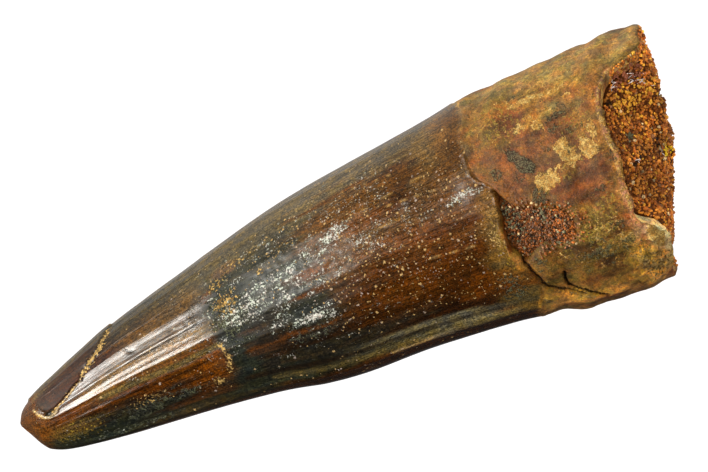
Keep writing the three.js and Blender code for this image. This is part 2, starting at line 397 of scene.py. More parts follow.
class Skin:
    """Places on the outer surface before its relief, one for each vertex."""

    def __init__(self, x, angle):
        self.x, self.angle = np.broadcast_arrays(x, angle)
        self.y_mid, self.z_mid, self.half_width, self.half_height = section_at(self.x)
        self.girth = (self.half_width + self.half_height) / 2
        turn = np.radians(self.angle)
        self.cos, self.sin = np.cos(turn), np.sin(turn)
        self.y = self.y_mid + self.half_width * self.cos
        self.z = self.z_mid + self.half_height * self.sin
        self.side = self.girth * np.radians(degrees_apart(90, self.angle))
        self.crown = (self.x <= enamel_edge(self.angle) + 1e-6).astype(float)
        self.top = (self.sin > 0).astype(float)
        edge = enamel_edge(self.angle) + self.rough((0.3, 0.7, 16), (0.2, 0.3, 17))
        self.enamel = smoothstep(edge - self.x, -0.3, 0.4)
        drawn_out = 0.6 * self.streaks(0.5, 5, 11) + 0.4 * self.streaks(0.22, 1.5, 12)
        crumbly = self.rough((0.45, 0.9, 13), (0.35, 0.4, 14), (0.25, 0.2, 15))
        self.fringe = np.where(self.crown > 0, drawn_out, crumbly)

    def streaks(self, across, along, seed):
        """Noise drawn out along the tooth."""
        return noise(self.x * across / along, FAN_RADIUS * self.cos, FAN_RADIUS * self.sin, across, seed)

    def mottle(self, size, seed):
        return noise(self.x, self.y, self.z, size, seed)

    def rough(self, *layers):
        """Mottles over each other, each with its strength, size and seed."""
        return sum(strength * self.mottle(size, seed) for strength, size, seed in layers)

    def patch(self, x, angle, long, wide, soft, ragged, turn=0):
        """A blot round a place, long and wide either way from it and turned in its own plane."""
        along = self.x - x
        across = self.girth * np.radians(degrees_apart(angle, self.angle))
        t = math.radians(turn)
        a = along * math.cos(t) + across * math.sin(t)
        b = across * math.cos(t) - along * math.sin(t)
        distance = (np.abs(a / long) ** 3 + np.abs(b / wide) ** 3) ** (1 / 3)
        return within(distance + ragged * self.fringe, 1, soft)

    def patches(self, rows):
        """Some blots together, each a row of its strength and its patch."""
        return sum(strength * self.patch(*patch) for strength, *patch in rows)

    def unrolled(self, route):
        """Corners of (x, angle) as distances along the tooth and round its top."""
        return [(x, girth_at(x) * math.radians(degrees_apart(90, angle))) for x, angle in route]

    def line(self, route, half_width, soft, ragged):
        """A stroke along a route of (x, angle) corners."""
        distance = segments_distance(self.x, self.side, self.unrolled(route)) / half_width
        return within(distance + ragged * self.fringe, 1, soft)

    def seams(self, routes):
        """Signed distance to the nearest of some lines, and a share that is 1 beside them."""
        nearest, signed, past = (np.full(np.shape(self.x), value) for value in (np.inf, 0.0, 0.0))
        for route in routes:
            ends = self.unrolled(route)
            for i, ((u0, v0), (u1, v1)) in enumerate(zip(ends[:-1], ends[1:])):
                length = math.hypot(u1 - u0, v1 - v0)
                along = ((self.x - u0) * (u1 - u0) + (self.side - v0) * (v1 - v0)) / length
                across = ((self.side - v0) * (u1 - u0) - (self.x - u0) * (v1 - v0)) / length
                before = np.maximum(-along, 0) * (i == 0)
                after = np.maximum(along - length, 0) * (i == len(ends) - 2)
                distance = np.hypot(across, along - np.clip(along, 0, length))
                closer = distance < nearest
                nearest = np.where(closer, distance, nearest)
                signed = np.where(closer, np.where(across < 0, -distance, distance), signed)
                past = np.where(closer, before + after, past)
        return signed, within(past, 0.12, 0.1) * within(nearest, 0.7, 0.2)

    def on_flap(self, ragged=0, soft=0.05):
        """1 on the raised flap of enamel beside the tip."""
        depth = depth_inside(self.x, self.side, self.unrolled(FLAP)) + ragged * self.fringe
        return smoothstep(depth, -soft, soft)

    def inside_pit(self):
        """Distance inside the outline of the pit at the neck."""
        return depth_inside(self.x, self.y, PIT_OUTLINE)


# ---------- relief ----------

# Angles of the low ridges between the flutes of the crown.
RIDGES = [2, 18, 32, 46, 60, 75, 90, 104, 118, 132, 166, 184, 203, 222, 240, 258, 277, 296, 314, 331, 362]
FLUTE_DEPTH = 0.06
FLAP = [
    (1.15, 0), (1.5, 26), (1.9, 50), (2.2, 68), (2.6, 76), (3.3, 75), (4.1, 71), (5.2, 63), (5.9, 60),
    (6.15, 53), (6.7, 49), (7.2, 44), (7.9, 39), (8.4, 29), (8.9, 21), (9.5, 5), (9.2, -15), (7, -35),
    (3, -35), (1.3, -20),
]
FLAP_HEIGHT = 0.13
FLAP_EDGE = [(1.9, 50), (2.2, 68), (2.6, 76), (3.3, 75), (4.1, 71), (5.2, 63), (5.9, 60)]
CRUMB_EDGE = [(5.9, 58), (6.4, 52), (6.9, 47), (7.4, 43), (8.1, 37), (8.6, 28), (9.1, 20)]
MOON = [(1.5, 58), (1.7, 70), (2.1, 81), (2.6, 85), (3.1, 83), (3.4, 79)]
NOTCH = [(10.2, 63), (10.4, 66.5), (10.75, 68)]
LONG_CRACK = [(41.1, 118), (41.4, 126), (41.6, 131), (41.8, 136), (42.4, 141), (43.1, 145), (44, 151)]
SHORT_CRACK = [(43.5, 131), (43.3, 136), (43.3, 140), (43.6, 144), (44.2, 148), (45.4, 161)]
CRACKS = [(LONG_CRACK, 0.14, 0.22), (SHORT_CRACK, 0.12, 0.2)]  # route, half width and depth
# Lines that the finish draws, finer than the mesh, in groups for the axes of a stored vector.
SEAMS = [(LONG_CRACK,), (SHORT_CRACK,), (NOTCH,)]
KNOB = (50.9, 126)  # place along and angle
CRUMBLED_CORNER = (50, 148)


def flutes(skin):
    """Shallow hollows between sharp low ridges."""
    edges = np.array(RIDGES, float)
    angle = (skin.angle - edges[0]) % 360 + edges[0] + 3 * skin.streaks(1.5, 14, 21)
    i = np.clip(np.searchsorted(edges, angle) - 1, 0, len(edges) - 2)
    across = 2 * (angle - edges[i]) / (edges[i + 1] - edges[i]) - 1
    return FLUTE_DEPTH * (across**2 - 0.4)


def keels(skin):
    total = 0
    for angle, height, half_width in KEELS:
        nearness = 1 - np.abs(degrees_apart(skin.angle, angle)) / half_width
        total = total + height * clamp(nearness)
    return total * smoothstep(skin.x, 2, 8)


def root_lumps(skin):
    turn = np.radians(skin.angle)
    broad = np.sin(1.1 * skin.x + 2 * np.sin(2 * turn)) * np.cos(3 * turn + 0.6 * skin.x)
    return broad + 0.5 * np.sin(2.3 * skin.x + 5 * turn)


def pit_depth(x):
    return lerp(PIT_DEEPEST, PIT_SHALLOWEST, smoothstep(x, PIT_START, PIT_END))


def crown_relief(skin):
    """Flutes, keels, fine lines, the flap beside the tip and the chips and crumbs at its edge."""
    flute_strength = smoothstep(skin.x, 1.5, 6) * lerp(1, 0.25, smoothstep(skin.x, 30, 39))
    raised = flutes(skin) * flute_strength + keels(skin)
    raised = raised + 0.012 * skin.streaks(0.35, 5, 22) + 0.015 * skin.mottle(1.2, 23)
    raised = raised + 0.025 * skin.patch(23, 78, 7, 3.2, 0.5, 0.5) * skin.mottle(0.25, 25)

    flap = skin.on_flap(0.08, 0.04)
    beside = 0.07 * skin.line(MOON, 0.13, 0.6, 0.2) - 0.05 * skin.line(FLAP_EDGE, 0.15, 0.5, 0.4)
    beside = beside - 0.2 * skin.patch(2.75, 79, 0.42, 0.22, 0.4, 0.2, -20)
    beside = beside + skin.line(CRUMB_EDGE, 0.34, 0.4, 0.5) * (0.03 + 0.12 * skin.mottle(0.24, 24))
    raised = raised + lerp(beside, FLAP_HEIGHT, flap)
    return raised - 0.02 * skin.line(NOTCH, 0.12, 0.6, 0.4)


def root_relief(skin):
    """The step down from the enamel, lumps, a crumbled corner, a knob and a hollow."""
    past_edge = skin.x - enamel_edge(skin.angle) + 0.25 * skin.mottle(0.7, 32)
    step = ENAMEL_STEP * lerp(0.12, 1, smoothstep(past_edge, 0, 1.5))
    raised = ROOT_LUMP_HEIGHT * root_lumps(skin) - step
    raised = raised + skin.rough((0.06, 1.6, 26), (0.035, 0.6, 27), (0.02, 0.28, 28))
    corner = skin.patch(*CRUMBLED_CORNER, 1.9, 2.6, 0.5, 0.5)
    raised = raised + corner * (skin.rough((0.2, 0.7, 29), (0.2, 0.35, 30)) - 0.06)
    knob = skin.patch(*KNOB, 0.9, 1.4, 0.4, 0.6)
    raised = raised + knob * (0.18 + 0.3 * skin.mottle(0.35, 33))
    return raised - 0.1 * skin.patch(46.8, 150, 2.2, 1.2, 0.5, 0.3)


def pit_relief(skin):
    """The pit at the neck, whose wall is steeper on the side of the crown."""
    inside = skin.inside_pit() + skin.rough((0.15, 0.6, 31), (0.1, 0.25, 34))
    slope = lerp(0.3, 0.75, smoothstep(skin.x, 41.4, 43.6))
    return -pit_depth(skin.x) * smoothstep(inside / slope, -0.25, 0.9) * skin.top


def relief(skin):
    """How far the surface stands out of the plain oval form."""
    raised = np.where(skin.crown > 0, crown_relief(skin), root_relief(skin)) + pit_relief(skin)
    for route, half_width, depth in CRACKS:
        raised = raised - depth * skin.line(route, half_width, 0.6, 0.3)
    return raised


# ---------- the tooth's colours ----------

COLOURS = {
    "nub": (73, 44, 14), "amber": (70, 39, 6), "deep amber": (48, 28, 8), "honey": (82, 46, 6),
    "red brown": (75, 56, 33), "bark": (73, 49, 20), "maroon": (24, 19, 12), "wine": (45, 22, 10),
    "umber": (30, 18, 7), "black": (14, 12, 10), "soot": (84, 86, 62), "sheen shoulder": (82, 71, 51),
    "sheen grey brown": (74, 66, 49), "olive": (76, 66, 38), "moss": (36, 38, 27), "slate": (29, 33, 28),
    "sheen ash": (86, 88, 78), "chalk": (204, 206, 194), "mint": (128, 136, 114), "shell": (146, 130, 120),
    "gold": (168, 136, 78), "dark gold": (88, 66, 32), "speck": (172, 138, 84),
    "tan": (108, 82, 42), "rust": (98, 56, 26), "pale": (170, 146, 104), "neck": (92, 59, 27),
    "root red": (98, 55, 24), "root tan": (132, 93, 40), "root gold": (150, 106, 40),
    "root olive": (94, 72, 27), "root dark": (48, 30, 11), "cream": (184, 156, 92),
    "dentine": (182, 140, 84), "pink": (160, 112, 82), "lichen": (142, 117, 42), "carina sheen grey": (104, 98, 76),
    "straw": (138, 112, 64), "ochre": (202, 146, 54), "brightened fresh break": (238, 210, 150),
}


def shade(name):
    return linear(COLOURS[name])


# Blots on the crown, from the lowest up: colour, place along, angle, reach along and across, strength
# and, for some, the turn in degrees.
CROWN_BLOTS = [
    # The grey-brown blots along the front edge, at 14 to 30 degrees, are partly its colour and partly its
    # grey sheen, painted in.
    ("bark", 34, 62, 9, 3.8, 0.9), ("bark", 24, 40, 9, 3, 0.7), ("sheen shoulder", 24, 14, 21, 3.4, 0.95),
    ("sheen grey brown", 20, 30, 7, 2.2, 0.8), ("umber", 8, 250, 10, 4, 0.6), ("maroon", 24, 240, 7, 5, 0.7),
    ("slate", 31, 280, 6, 3, 0.5), ("amber", 30, 325, 9, 2, 0.6), ("amber", 13, 300, 6, 1.5, 0.6),
    ("moss", 21.5, 60, 5, 3.6, 0.8), ("slate", 21.5, 88, 4.4, 3, 0.85),
    ("maroon", 22.5, 124, 5.4, 3, 0.8), ("slate", 18.1, 108, 1, 3.6, 0.95, 10),
    ("slate", 25.5, 104, 3, 1.4, 0.75), ("umber", 32, 119, 7.5, 1.6, 0.5), ("moss", 12, 152, 10, 1, 0.8),
    # The tan blot at 10 mm, 84 degrees is partly colour and partly a painted warm highlight along the tip's
    # highlight band.
    ("moss", 4, 146, 3.4, 1.4, 0.8), ("umber", 10, 74, 7, 1.2, 0.7), ("tan", 10, 84, 7, 0.9, 0.6),
    ("red brown", 12.5, 52, 4.4, 1.3, 0.9), ("bark", 11, 48, 2.2, 0.6, 0.6),
    # The grey-brown blot on the flap at 4.5 mm is partly its colour and partly a painted sheen.
    ("sheen grey brown", 4.5, 22, 4.4, 2.2, 0.75), ("wine", 5.4, 54, 3.8, 1.6, 0.9, 15),
    ("slate", 13, 28, 5.6, 1.3, 0.6), ("slate", 18.8, 78, 1.5, 3, 0.7),
    ("amber", 12.6, 105, 4.4, 1.2, 0.7), ("honey", 15.5, 114, 1.8, 1.2, 0.7),
    ("deep amber", 9, 124, 5, 0.8, 0.8), ("amber", 4.8, 106, 2.6, 1, 0.9),
    ("umber", 10, 134, 5.5, 0.5, 0.8), ("nub", 0.6, 90, 1.2, 3, 1), ("nub", 1.4, 112, 1, 1, 0.9),
    ("honey", 29.5, 100, 2.4, 0.7, 0.3), ("honey", 34, 88, 3.6, 0.9, 0.5),
    ("honey", 36.5, 104, 3, 0.6, 0.5), ("amber", 31.5, 66, 3, 0.6, 0.6),
    ("deep amber", 36.5, 60, 3.2, 1, 0.6), ("umber", 29, 136, 9, 0.7, 0.8),
    ("umber", 37, 139, 3.4, 1, 0.7), ("deep amber", 30, 165, 9, 1, 0.85),
    # The grey-brown blot at 38.5 mm, 28 degrees is partly colour and partly the front edge's painted sheen.
    ("sheen shoulder", 38.5, 28, 3.6, 3.4, 0.7), ("tan", 38.6, 50, 2.6, 3, 0.55),
    ("olive", 39.8, 60, 1.2, 1.7, 0.8), ("tan", 40.4, 93, 0.8, 2.7, 0.85),
    ("olive", 39.6, 118, 1.4, 1.4, 0.6), ("olive", 40, 142, 1.6, 1.4, 0.7),
    ("rust", 19.6, 47, 0.9, 0.4, 0.5), ("rust", 17.6, 60, 0.5, 0.3, 0.4, 20),
    ("deep amber", 34, 110, 6, 1.6, 0.6), ("amber", 38.4, 126, 2, 1.2, 0.8),
    # The grey blot at 35.4 mm, 147 degrees paints the sheen of the strip above the rear keel.
    ("honey", 33.4, 103, 3.4, 1, 0.3), ("carina sheen grey", 35.4, 147, 3.2, 0.6, 0.8),
    ("tan", 40, 103, 1, 2.6, 0.42), ("neck", 38.6, 74, 2.2, 2.4, 0.5), ("neck", 39.2, 40, 1.4, 3.4, 0.5),
    ("olive", 4.2, 124, 2.4, 0.8, 0.45), ("moss", 5.5, 140, 4, 0.7, 0.8),
    # The grey-brown blot at 22 mm, 24 degrees is partly colour and partly the front edge's painted sheen.
    ("sheen shoulder", 22, 24, 6, 2.2, 0.6), ("slate", 18.4, 137, 3.2, 1.4, 0.5),
    ("slate", 9, 132, 4.2, 1.2, 0.8), ("bark", 40.2, 43, 1.4, 2.6, 0.95),
    ("deep amber", 38.4, 74, 2.6, 3.8, 0.35), ("umber", 36.4, 50, 3.6, 3.4, 0.25),
    ("deep amber", 31.6, 95, 2.4, 1, 0.5), ("honey", 32.4, 115, 3.2, 1, 0.35),
    # The grey blot at 30.8 mm, 141 degrees paints the sheen of the strip above the rear keel.
    ("slate", 26.5, 131, 5, 0.9, 0.55), ("carina sheen grey", 30.8, 141, 3.8, 0.8, 0.65),
]
# Lines on the crown: colour, route, half width and strength.
CROWN_LINES = [
    ("olive", [(7, 95), (10.5, 98), (13.8, 100), (17.2, 98)], 0.2, 0.8),
    ("black", [(6, 100), (9.2, 105), (12.5, 108), (15.9, 107)], 0.1, 0.6),
    ("black", [(5, 106), (10.4, 116), (15.8, 119)], 0.12, 0.6),
    # The two thin black lines at about 69 to 77 degrees are painted shade in the fine grooves between the
    # tip's highlight bands.
    ("black", [(8, 75), (12, 77), (16.6, 76)], 0.07, 0.8),
    ("black", [(4, 77), (7, 75), (10, 70), (16.8, 69)], 0.05, 0.7),
    ("moss", [(17.6, 138), (22, 142), (28.9, 145), (32, 146)], 0.6, 0.6),
    # The olive line from 20 to 38.6 mm along the rear keel paints the grey-olive sheen above that keel.
    ("olive", [(20, 142), (24, 144.5), (28.9, 147), (33.7, 148), (38.6, 151)], 0.26, 0.65),
    ("umber", [(18, 134), (24, 138), (31, 142), (38, 145)], 0.22, 0.7),
    ("pale", [(28.9, 151), (31.6, 151), (33.8, 152)], 0.06, 0.4),
    ("speck", [(30.1, 40), (34.8, 47)], 0.03, 0.35), ("speck", [(31.4, 59), (37.3, 56)], 0.03, 0.35),
    ("speck", [(32.6, 63), (37.7, 68)], 0.03, 0.35), ("speck", [(34.7, 100), (38.9, 103)], 0.03, 0.35),
    ("speck", [(29.5, 73), (35, 74)], 0.03, 0.3),
]
# Dust on the crown, which also sets where a thin grey film paints a sheen: route, half width and density.
DUST_AND_SHEEN = [
    ([(17.5, 80), (22, 77), (26, 70), (30, 62)], 3.2, 0.22),
    ([(19.2, 82), (22, 80), (24.6, 76)], 1.2, 0.48), ([(25, 74), (27.5, 67), (29.6, 61)], 1.1, 0.43),
    ([(29.6, 61), (31.6, 57)], 0.8, 0.28), ([(21.5, 92), (25.4, 85), (28, 79)], 1.1, 0.35),
    ([(25, 76), (28.5, 74), (31.5, 72)], 1.5, 0.33), ([(23.4, 103.5), (26.1, 105)], 0.45, 0.58),
    ([(21.4, 103), (23, 99)], 0.5, 0.42), ([(18, 66), (22, 56), (27, 50), (32, 48)], 1.7, 0.24),
    ([(28, 76), (34, 74)], 1.8, 0.22), ([(35.4, 79), (37.4, 77.5)], 0.5, 0.36),
    ([(37.6, 78), (38.6, 76.5), (40.3, 77.5)], 0.38, 0.6), ([(10, 84), (17, 84)], 0.9, 0.16),
    ([(22, 116), (31, 110)], 1.8, 0.12), ([(2.4, 132), (7.1, 146)], 0.6, 0.2),
]
# Blots on the root, as on the crown.
ROOT_BLOTS = [
    ("neck", 42.4, 52, 2.2, 5.4, 0.8), ("root dark", 44.8, 126, 2, 1.3, 0.85),
    ("neck", 44.8, 126, 2, 1.3, 0.6), ("neck", 47.5, 78, 3, 2.6, 0.4), ("neck", 42.8, 100, 2.2, 1.4, 0.5),
    ("root red", 46.6, 66, 4.4, 1.6, 0.35), ("root red", 47.4, 92, 3.6, 1.6, 0.45),
    ("root dark", 47.6, 89, 2, 0.5, 0.45), ("rust", 46.8, 97, 2.6, 0.7, 0.7),
    ("neck", 45.6, 72, 2, 1.6, 0.5), ("wine", 47.6, 99, 1.8, 0.5, 0.35),
    ("root olive", 46, 132, 5, 4.5, 0.6), ("straw", 47.4, 22, 9, 2.8, 0.85),
    ("root tan", 49.8, 58, 1.2, 2.8, 0.45), ("root olive", 42.6, 46, 1.3, 2.4, 0.6),
    ("root olive", 44.5, 34, 1.4, 0.7, 0.5), ("neck", 44.8, 45, 1.8, 1.7, 0.85),
    ("root gold", 46.6, 40, 3.4, 0.8, 0.6), ("straw", 47.8, 49, 1.4, 1.1, 0.6),
    ("rust", 47.8, 46, 1.7, 0.3, 0.5), ("rust", 44.3, 47, 1.1, 0.9, 0.7),
    ("rust", 49.2, 88, 0.9, 0.5, 0.5), ("root gold", 45.6, 54, 0.6, 0.6, 0.7, 50),
    ("root tan", 50.7, 80, 0.5, 3.4, 0.5), ("root gold", 50.3, 104, 0.5, 1.6, 0.6),
    ("pink", 50.2, 112, 0.5, 1.6, 0.7), ("root dark", 47.4, 131, 1.8, 0.5, 0.7, 10),
    ("root dark", 48.8, 118, 0.8, 0.4, 0.6), ("root dark", 45.5, 120, 1.3, 0.4, 0.5),
    ("ochre", 43.4, 153, 3.4, 1.2, 0.7), ("root gold", 45.4, 146, 2.4, 0.7, 0.6),
    ("rust", 46.6, 141, 1.8, 0.5, 0.6), ("ochre", 50, 147, 1.7, 2.6, 1),
    ("root dark", 49.2, 146, 0.5, 0.4, 0.8), ("root dark", 49.7, 151, 0.4, 0.4, 0.7),
    ("root dark", 49.2, 142, 0.3, 0.3, 0.8), ("root dark", 50.5, 146, 0.25, 0.3, 0.7),
    # The thin dark blot at 50.2 mm, 138.5 degrees is a painted shadow under the knob.
    ("root dark", 50.2, 138.5, 0.8, 0.16, 0.8, 20), ("dentine", 51.1, 131, 1, 1.9, 0.95),
    ("pink", 50, 122, 0.6, 1.3, 0.45), ("rust", 50.2, 129, 0.4, 0.7, 0.6),
    # The pale break at 51.2 mm, 128 degrees is painted lighter still, as painted light on the shaded end of
    # the knob.
    ("brightened fresh break", 51.2, 128, 0.8, 1.5, 0.9), ("root red", 48, 240, 5, 5, 0.6),
    ("root olive", 44, 290, 3, 4, 0.6),
]
BROKEN_EDGE = [(52.1, 43), (51, 54), (50.6, 66), (50.5, 75), (50.7, 83), (50.3, 97), (50, 110), (50, 119)]
ROOT_LINES = [
    ("pink", BROKEN_EDGE, 0.16, 0.7),
    ("root olive", [(42.1, 40), (42.6, 45), (43.1, 41), (42.7, 34), (42.2, 36), (42.1, 40)], 0.07, 0.8),
    ("rust", [(41.5, 80), (41.2, 90), (40.6, 104), (40.5, 112)], 0.1, 0.9),
    ("root dark", [(42.2, 60), (44, 63), (46, 66), (49, 67)], 0.12, 0.4),
    ("root dark", [(45.6, 100), (47.4, 98), (49.4, 97)], 0.12, 0.35),
    ("root dark", [(46.6, 86), (48.2, 84), (50.2, 80)], 0.07, 0.5),
    ("root dark", [(45.2, 37), (46.6, 37.5), (48.4, 36)], 0.07, 0.5),
    ("wine", [(46.4, 90), (48, 88), (50, 88)], 0.16, 0.4),
]


# Fields of flakes, crumbs and grains, each as a blot without its colour.
FLAKES = {
    "cream": [
        (46.6, 40.5, 2, 0.34, 0.8, -3), (47, 51, 0.7, 0.35, 0.55), (45.9, 56, 0.4, 0.9, 0.56, 20),
        (44.7, 55, 0.5, 0.35, 0.6), (48.8, 47, 0.6, 0.3, 0.5), (45.2, 84.5, 1, 0.62, 0.86, 10),
        (47.4, 76, 0.6, 1.15, 0.86, 20), (49, 77, 0.6, 0.9, 0.78, 10), (49.7, 71, 0.36, 0.9, 0.66),
        (46.3, 80.5, 0.5, 0.16, 0.5), (50.7, 88, 0.22, 4.6, 0.5), (44, 31, 1.6, 1.2, 0.3),
        (47.6, 34, 3, 0.6, 0.36), (43, 50, 1.6, 2, 0.3), (47.6, 114, 1.8, 1.1, 0.4),
        (44.6, 104, 1.8, 0.3, 0.5), (48.6, 124, 0.9, 0.8, 0.44), (44.2, 121, 0.7, 0.5, 0.42),
        (49.6, 147, 1.2, 1.6, 0.36), (50.9, 128, 0.5, 1.8, 0.9), (43, 152, 1.2, 0.5, 0.34),
        (47.8, 128, 3.2, 2.2, 0.33),
    ],
    "soot": [
        (46.6, 127, 3, 2.2, 0.34), (43.8, 70.5, 1.2, 0.5, 0.9, -60), (43.3, 79, 0.5, 0.3, 0.5),
        (47.4, 76, 0.3, 0.3, 0.5), (50.4, 83, 0.08, 0.08, 0.9), (44.2, 90, 0.5, 0.9, 0.6, -10),
        (41.8, 73, 0.6, 0.6, 0.62), (46, 71, 0.35, 0.3, 0.5), (47.2, 62, 0.6, 0.5, 0.5),
        (45, 33, 0.9, 0.6, 0.4), (47.7, 56.5, 1.5, 0.4, 0.54), (48.4, 66, 1, 0.4, 0.46),
        (48, 51, 0.4, 1.2, 0.45, 30), (50.3, 86, 0.3, 0.3, 0.5), (47.7, 128, 2.1, 0.7, 0.44, 8),
        (48.8, 116, 0.8, 0.5, 0.44), (50.4, 141, 0.4, 0.3, 0.66), (49.3, 146, 0.4, 0.3, 0.5),
        (10, 134, 3.4, 0.7, 0.42), (49.2, 138, 0.8, 0.5, 0.42), (48.6, 97, 0.7, 0.5, 0.46),
        (41.2, 149, 0.5, 0.4, 0.6), (42.2, 122, 0.6, 0.8, 0.5), (9, 147, 3.5, 0.4, 0.42),
        (18.4, 92, 0.9, 1.3, 0.5), (24, 112, 3, 0.8, 0.4), (18.8, 80, 1.6, 3, 0.5),
        (11, 126, 4, 0.7, 0.44), (39.4, 134, 1, 1.4, 0.46), (46.2, 125, 1.7, 0.36, 0.56),
    ],
    "gold": [
        (49.8, 145, 1.6, 2.2, 0.5), (20.8, 48, 1.2, 0.4, 0.44), (22.3, 63, 0.4, 0.3, 0.55),
        (16, 127, 0.5, 0.4, 0.5), (39.9, 103, 0.6, 0.7, 0.5), (24.5, 56, 1.5, 0.6, 0.34),
        (19, 76, 0.7, 0.35, 0.46), (50.1, 151, 1.6, 1.9, 0.52), (18.9, 72, 1.3, 0.8, 0.5),
        (18.6, 56, 0.9, 0.6, 0.46), (10.4, 118, 1.8, 0.6, 0.38),
    ],
    "lichen": [
        (48.4, 107, 1.8, 1, 0.48), (47, 116, 1.6, 0.6, 0.66), (47.9, 125, 1.7, 0.7, 0.62),
        (49, 130, 1.4, 1, 0.5), (44.8, 114, 1, 0.5, 0.42), (43.4, 46, 2, 2, 0.42),
        (46.2, 84, 2.6, 0.8, 0.4), (48.6, 66, 1.6, 2.4, 0.42), (47.4, 30, 5, 2.4, 0.38),
        (49, 138, 2, 1.8, 0.44), (4.4, 128, 2.8, 0.8, 0.38), (40.2, 110, 0.6, 2.2, 0.42),
    ],
}
FLAKE_LINES = [
    ("gold", CRUMB_EDGE, 0.5, 0.64), ("gold", [(17.3, 99), (17.5, 110), (17.1, 121)], 0.3, 0.56),
    ("gold", [(2.9, 79), (3.5, 76.5), (4.4, 71.5), (5.6, 63.5)], 0.13, 0.7),
    ("gold", [(43.1, 148), (43.8, 152), (44.6, 158)], 0.25, 0.5), ("cream", BROKEN_EDGE, 0.2, 0.56),
]
# Flakes there are at least: kind, on the crown and on the root.
FLAKES_EVERYWHERE = [("cream", 0, 0.14), ("lichen", 0, 0.24), ("soot", 0.14, 0.22)]
THIN_DUST_AND_SHEEN = 0.03
FEW_DOTS = 0.02
# Pale dots and dull places on the crown: strength, blot, softness and raggedness.
DOT_PATCHES = [
    (0.52, 33.6, 82, 7, 5, 0.6, 0.6), (0.16, 28, 158, 10, 1.4, 0.5, 0.4), (0.12, 13, 118, 4, 1.6, 0.5, 0.4),
    (0.16, 23, 60, 6, 3, 0.5, 0.6),
]
DULL_PATCHES = [
    (0.28, 23, 80, 5.8, 7, 0.3, 0.4), (0.25, 10, 150, 9, 1.2, 0.4, 0.4), (0.5, 18.9, 78, 2, 3.6, 0.5, 0.6),
    (-0.08, 10.5, 80, 7.5, 1.4, 0.4, 0.4),
]
CROWN_POLISH = 0.92
ROOT_POLISH = 0.45
RIM_POLISH = 0.3
LIT_BREAK_REACH = 9  # degrees either way from the knob


def flake_fields(skin):
    """How far each kind of flake spreads over every place."""
    on_crown = skin.crown > 0
    fields = dict.fromkeys(FLAKES, 0)
    for kind, rows in FLAKES.items():
        for x, angle, long, wide, strength, *turn in rows:
            reach = strength * skin.patch(x, angle, long, wide, 0.5, 0.6, *turn)
            reach = reach * (on_crown == (x < enamel_edge(angle)))
            fields[kind] = np.maximum(fields[kind], reach)
    for kind, route, half_width, strength in FLAKE_LINES:
        fields[kind] = np.maximum(fields[kind], strength * skin.line(route, half_width, 0.8, 0.5))
    fields["gold"] = fields["gold"] * (1 - skin.on_flap())
    fields["lichen"] = np.maximum(fields["lichen"], 0.8 * fields["cream"])
    for kind, on_crown_everywhere, on_root_everywhere in FLAKES_EVERYWHERE:
        least = np.where(on_crown, on_crown_everywhere, on_root_everywhere)
        fields[kind] = np.maximum(fields[kind], least)
    return fields


def plain_colour(skin):
    """The streaky crown and the mottled root, before any blots."""
    tone = clamp(0.5 + 0.4 * skin.streaks(0.45, 6, 41) + 0.35 * skin.streaks(1.3, 8, 42))
    crown = lay(shade("umber"), "honey", tone)
    root = lay(shade("root red"), "root tan", clamp(0.5 + skin.rough((0.7, 1.1, 43), (0.6, 0.45, 44))))
    streaky = clamp(0.3 + 0.7 * skin.streaks(0.6, 3.5, 45) + 0.6 * skin.mottle(0.8, 46))
    root = lay(root, "root olive", 0.8 * streaky)
    return lerp(root, crown, skin.enamel[..., None])


def lay(colour, name, where):
    """Lays a named colour over another."""
    return lerp(colour, shade(name), where[..., None])


def blots_and_lines(skin, blots, lines, blot_edge, line_edge):
    """Each colour and its place. The edges are softness and raggedness."""
    for name, x, angle, long, wide, strength, *turn in blots:
        yield name, strength * skin.patch(x, angle, long, wide, *blot_edge, *turn)
    for name, route, half_width, strength in lines:
        yield name, strength * skin.line(route, half_width, *line_edge)


def details(skin):
    """The shadows and pale edges of the flap, the pit and the cracks."""
    beside_flap = 1 - skin.on_flap()
    yield "umber", 0.5 * skin.line(FLAP_EDGE, 0.12, 0.5, 0.5) * beside_flap
    yield "slate", 0.8 * skin.patch(2.7, 79, 0.4, 0.25, 0.4, 0.2, -20) * beside_flap
    yield "pale", 0.6 * skin.line(MOON, 0.1, 0.6, 0.3) * beside_flap
    yield "umber", 0.8 * smoothstep(skin.inside_pit(), 0.1, 0.5) * skin.top
    for route, half_width, _ in CRACKS:
        yield "root dark", 0.6 * skin.line(route, half_width, 0.5, 0.5)


def skin_colour(skin):
    colour = plain_colour(skin)
    for name, where in blots_and_lines(skin, CROWN_BLOTS, CROWN_LINES, (0.4, 0.7), (0.6, 0.6)):
        colour = lay(colour, name, skin.enamel * where)
    for name, where in blots_and_lines(skin, ROOT_BLOTS, ROOT_LINES, (0.4, 0.9), (0.5, 0.7)):
        colour = lay(colour, name, (1 - skin.enamel) * where)
    for name, where in details(skin):
        colour = lay(colour, name, where)
    return colour


def dust_and_sheen_on(skin):
    dust_and_sheen = THIN_DUST_AND_SHEEN * skin.top
    for route, half_width, density in DUST_AND_SHEEN:
        dust_and_sheen = np.maximum(dust_and_sheen, density * skin.line(route, half_width, 0.8, 0.5))
    return clamp(dust_and_sheen * skin.crown)


def polish_of(skin):
    """1 where the surface is glazed and 0 where it is quite dull."""
    flap = skin.on_flap()
    polish = np.where(skin.crown > 0, CROWN_POLISH, ROOT_POLISH) - skin.crown * skin.patches(DULL_PATCHES)
    polish = polish - flap * (0.2 + 0.8 * skin.line(FLAP_EDGE, 0.9, 0.6, 0.2))
    polish = polish - 0.3 * skin.line(CRUMB_EDGE, 0.26, 0.5, 1.2) * (1 - flap)
    return clamp(polish * (1 - smoothstep(skin.inside_pit(), -0.05, 0.2) * skin.top))


# ---------- the tooth's finish ----------

WARM = (1.22, 1.1, 0.75)
COOL = (0.8, 0.84, 0.98)
REDDISH = (1.14, 0.93, 0.85)
GREENISH = (0.92, 1.04, 0.92)
ENAMEL_IOR = 1.37
GLAZE_IOR = 1.45
GLAZE_ROUGHNESS = 0.28
GLAZE_SHARE = 0.42


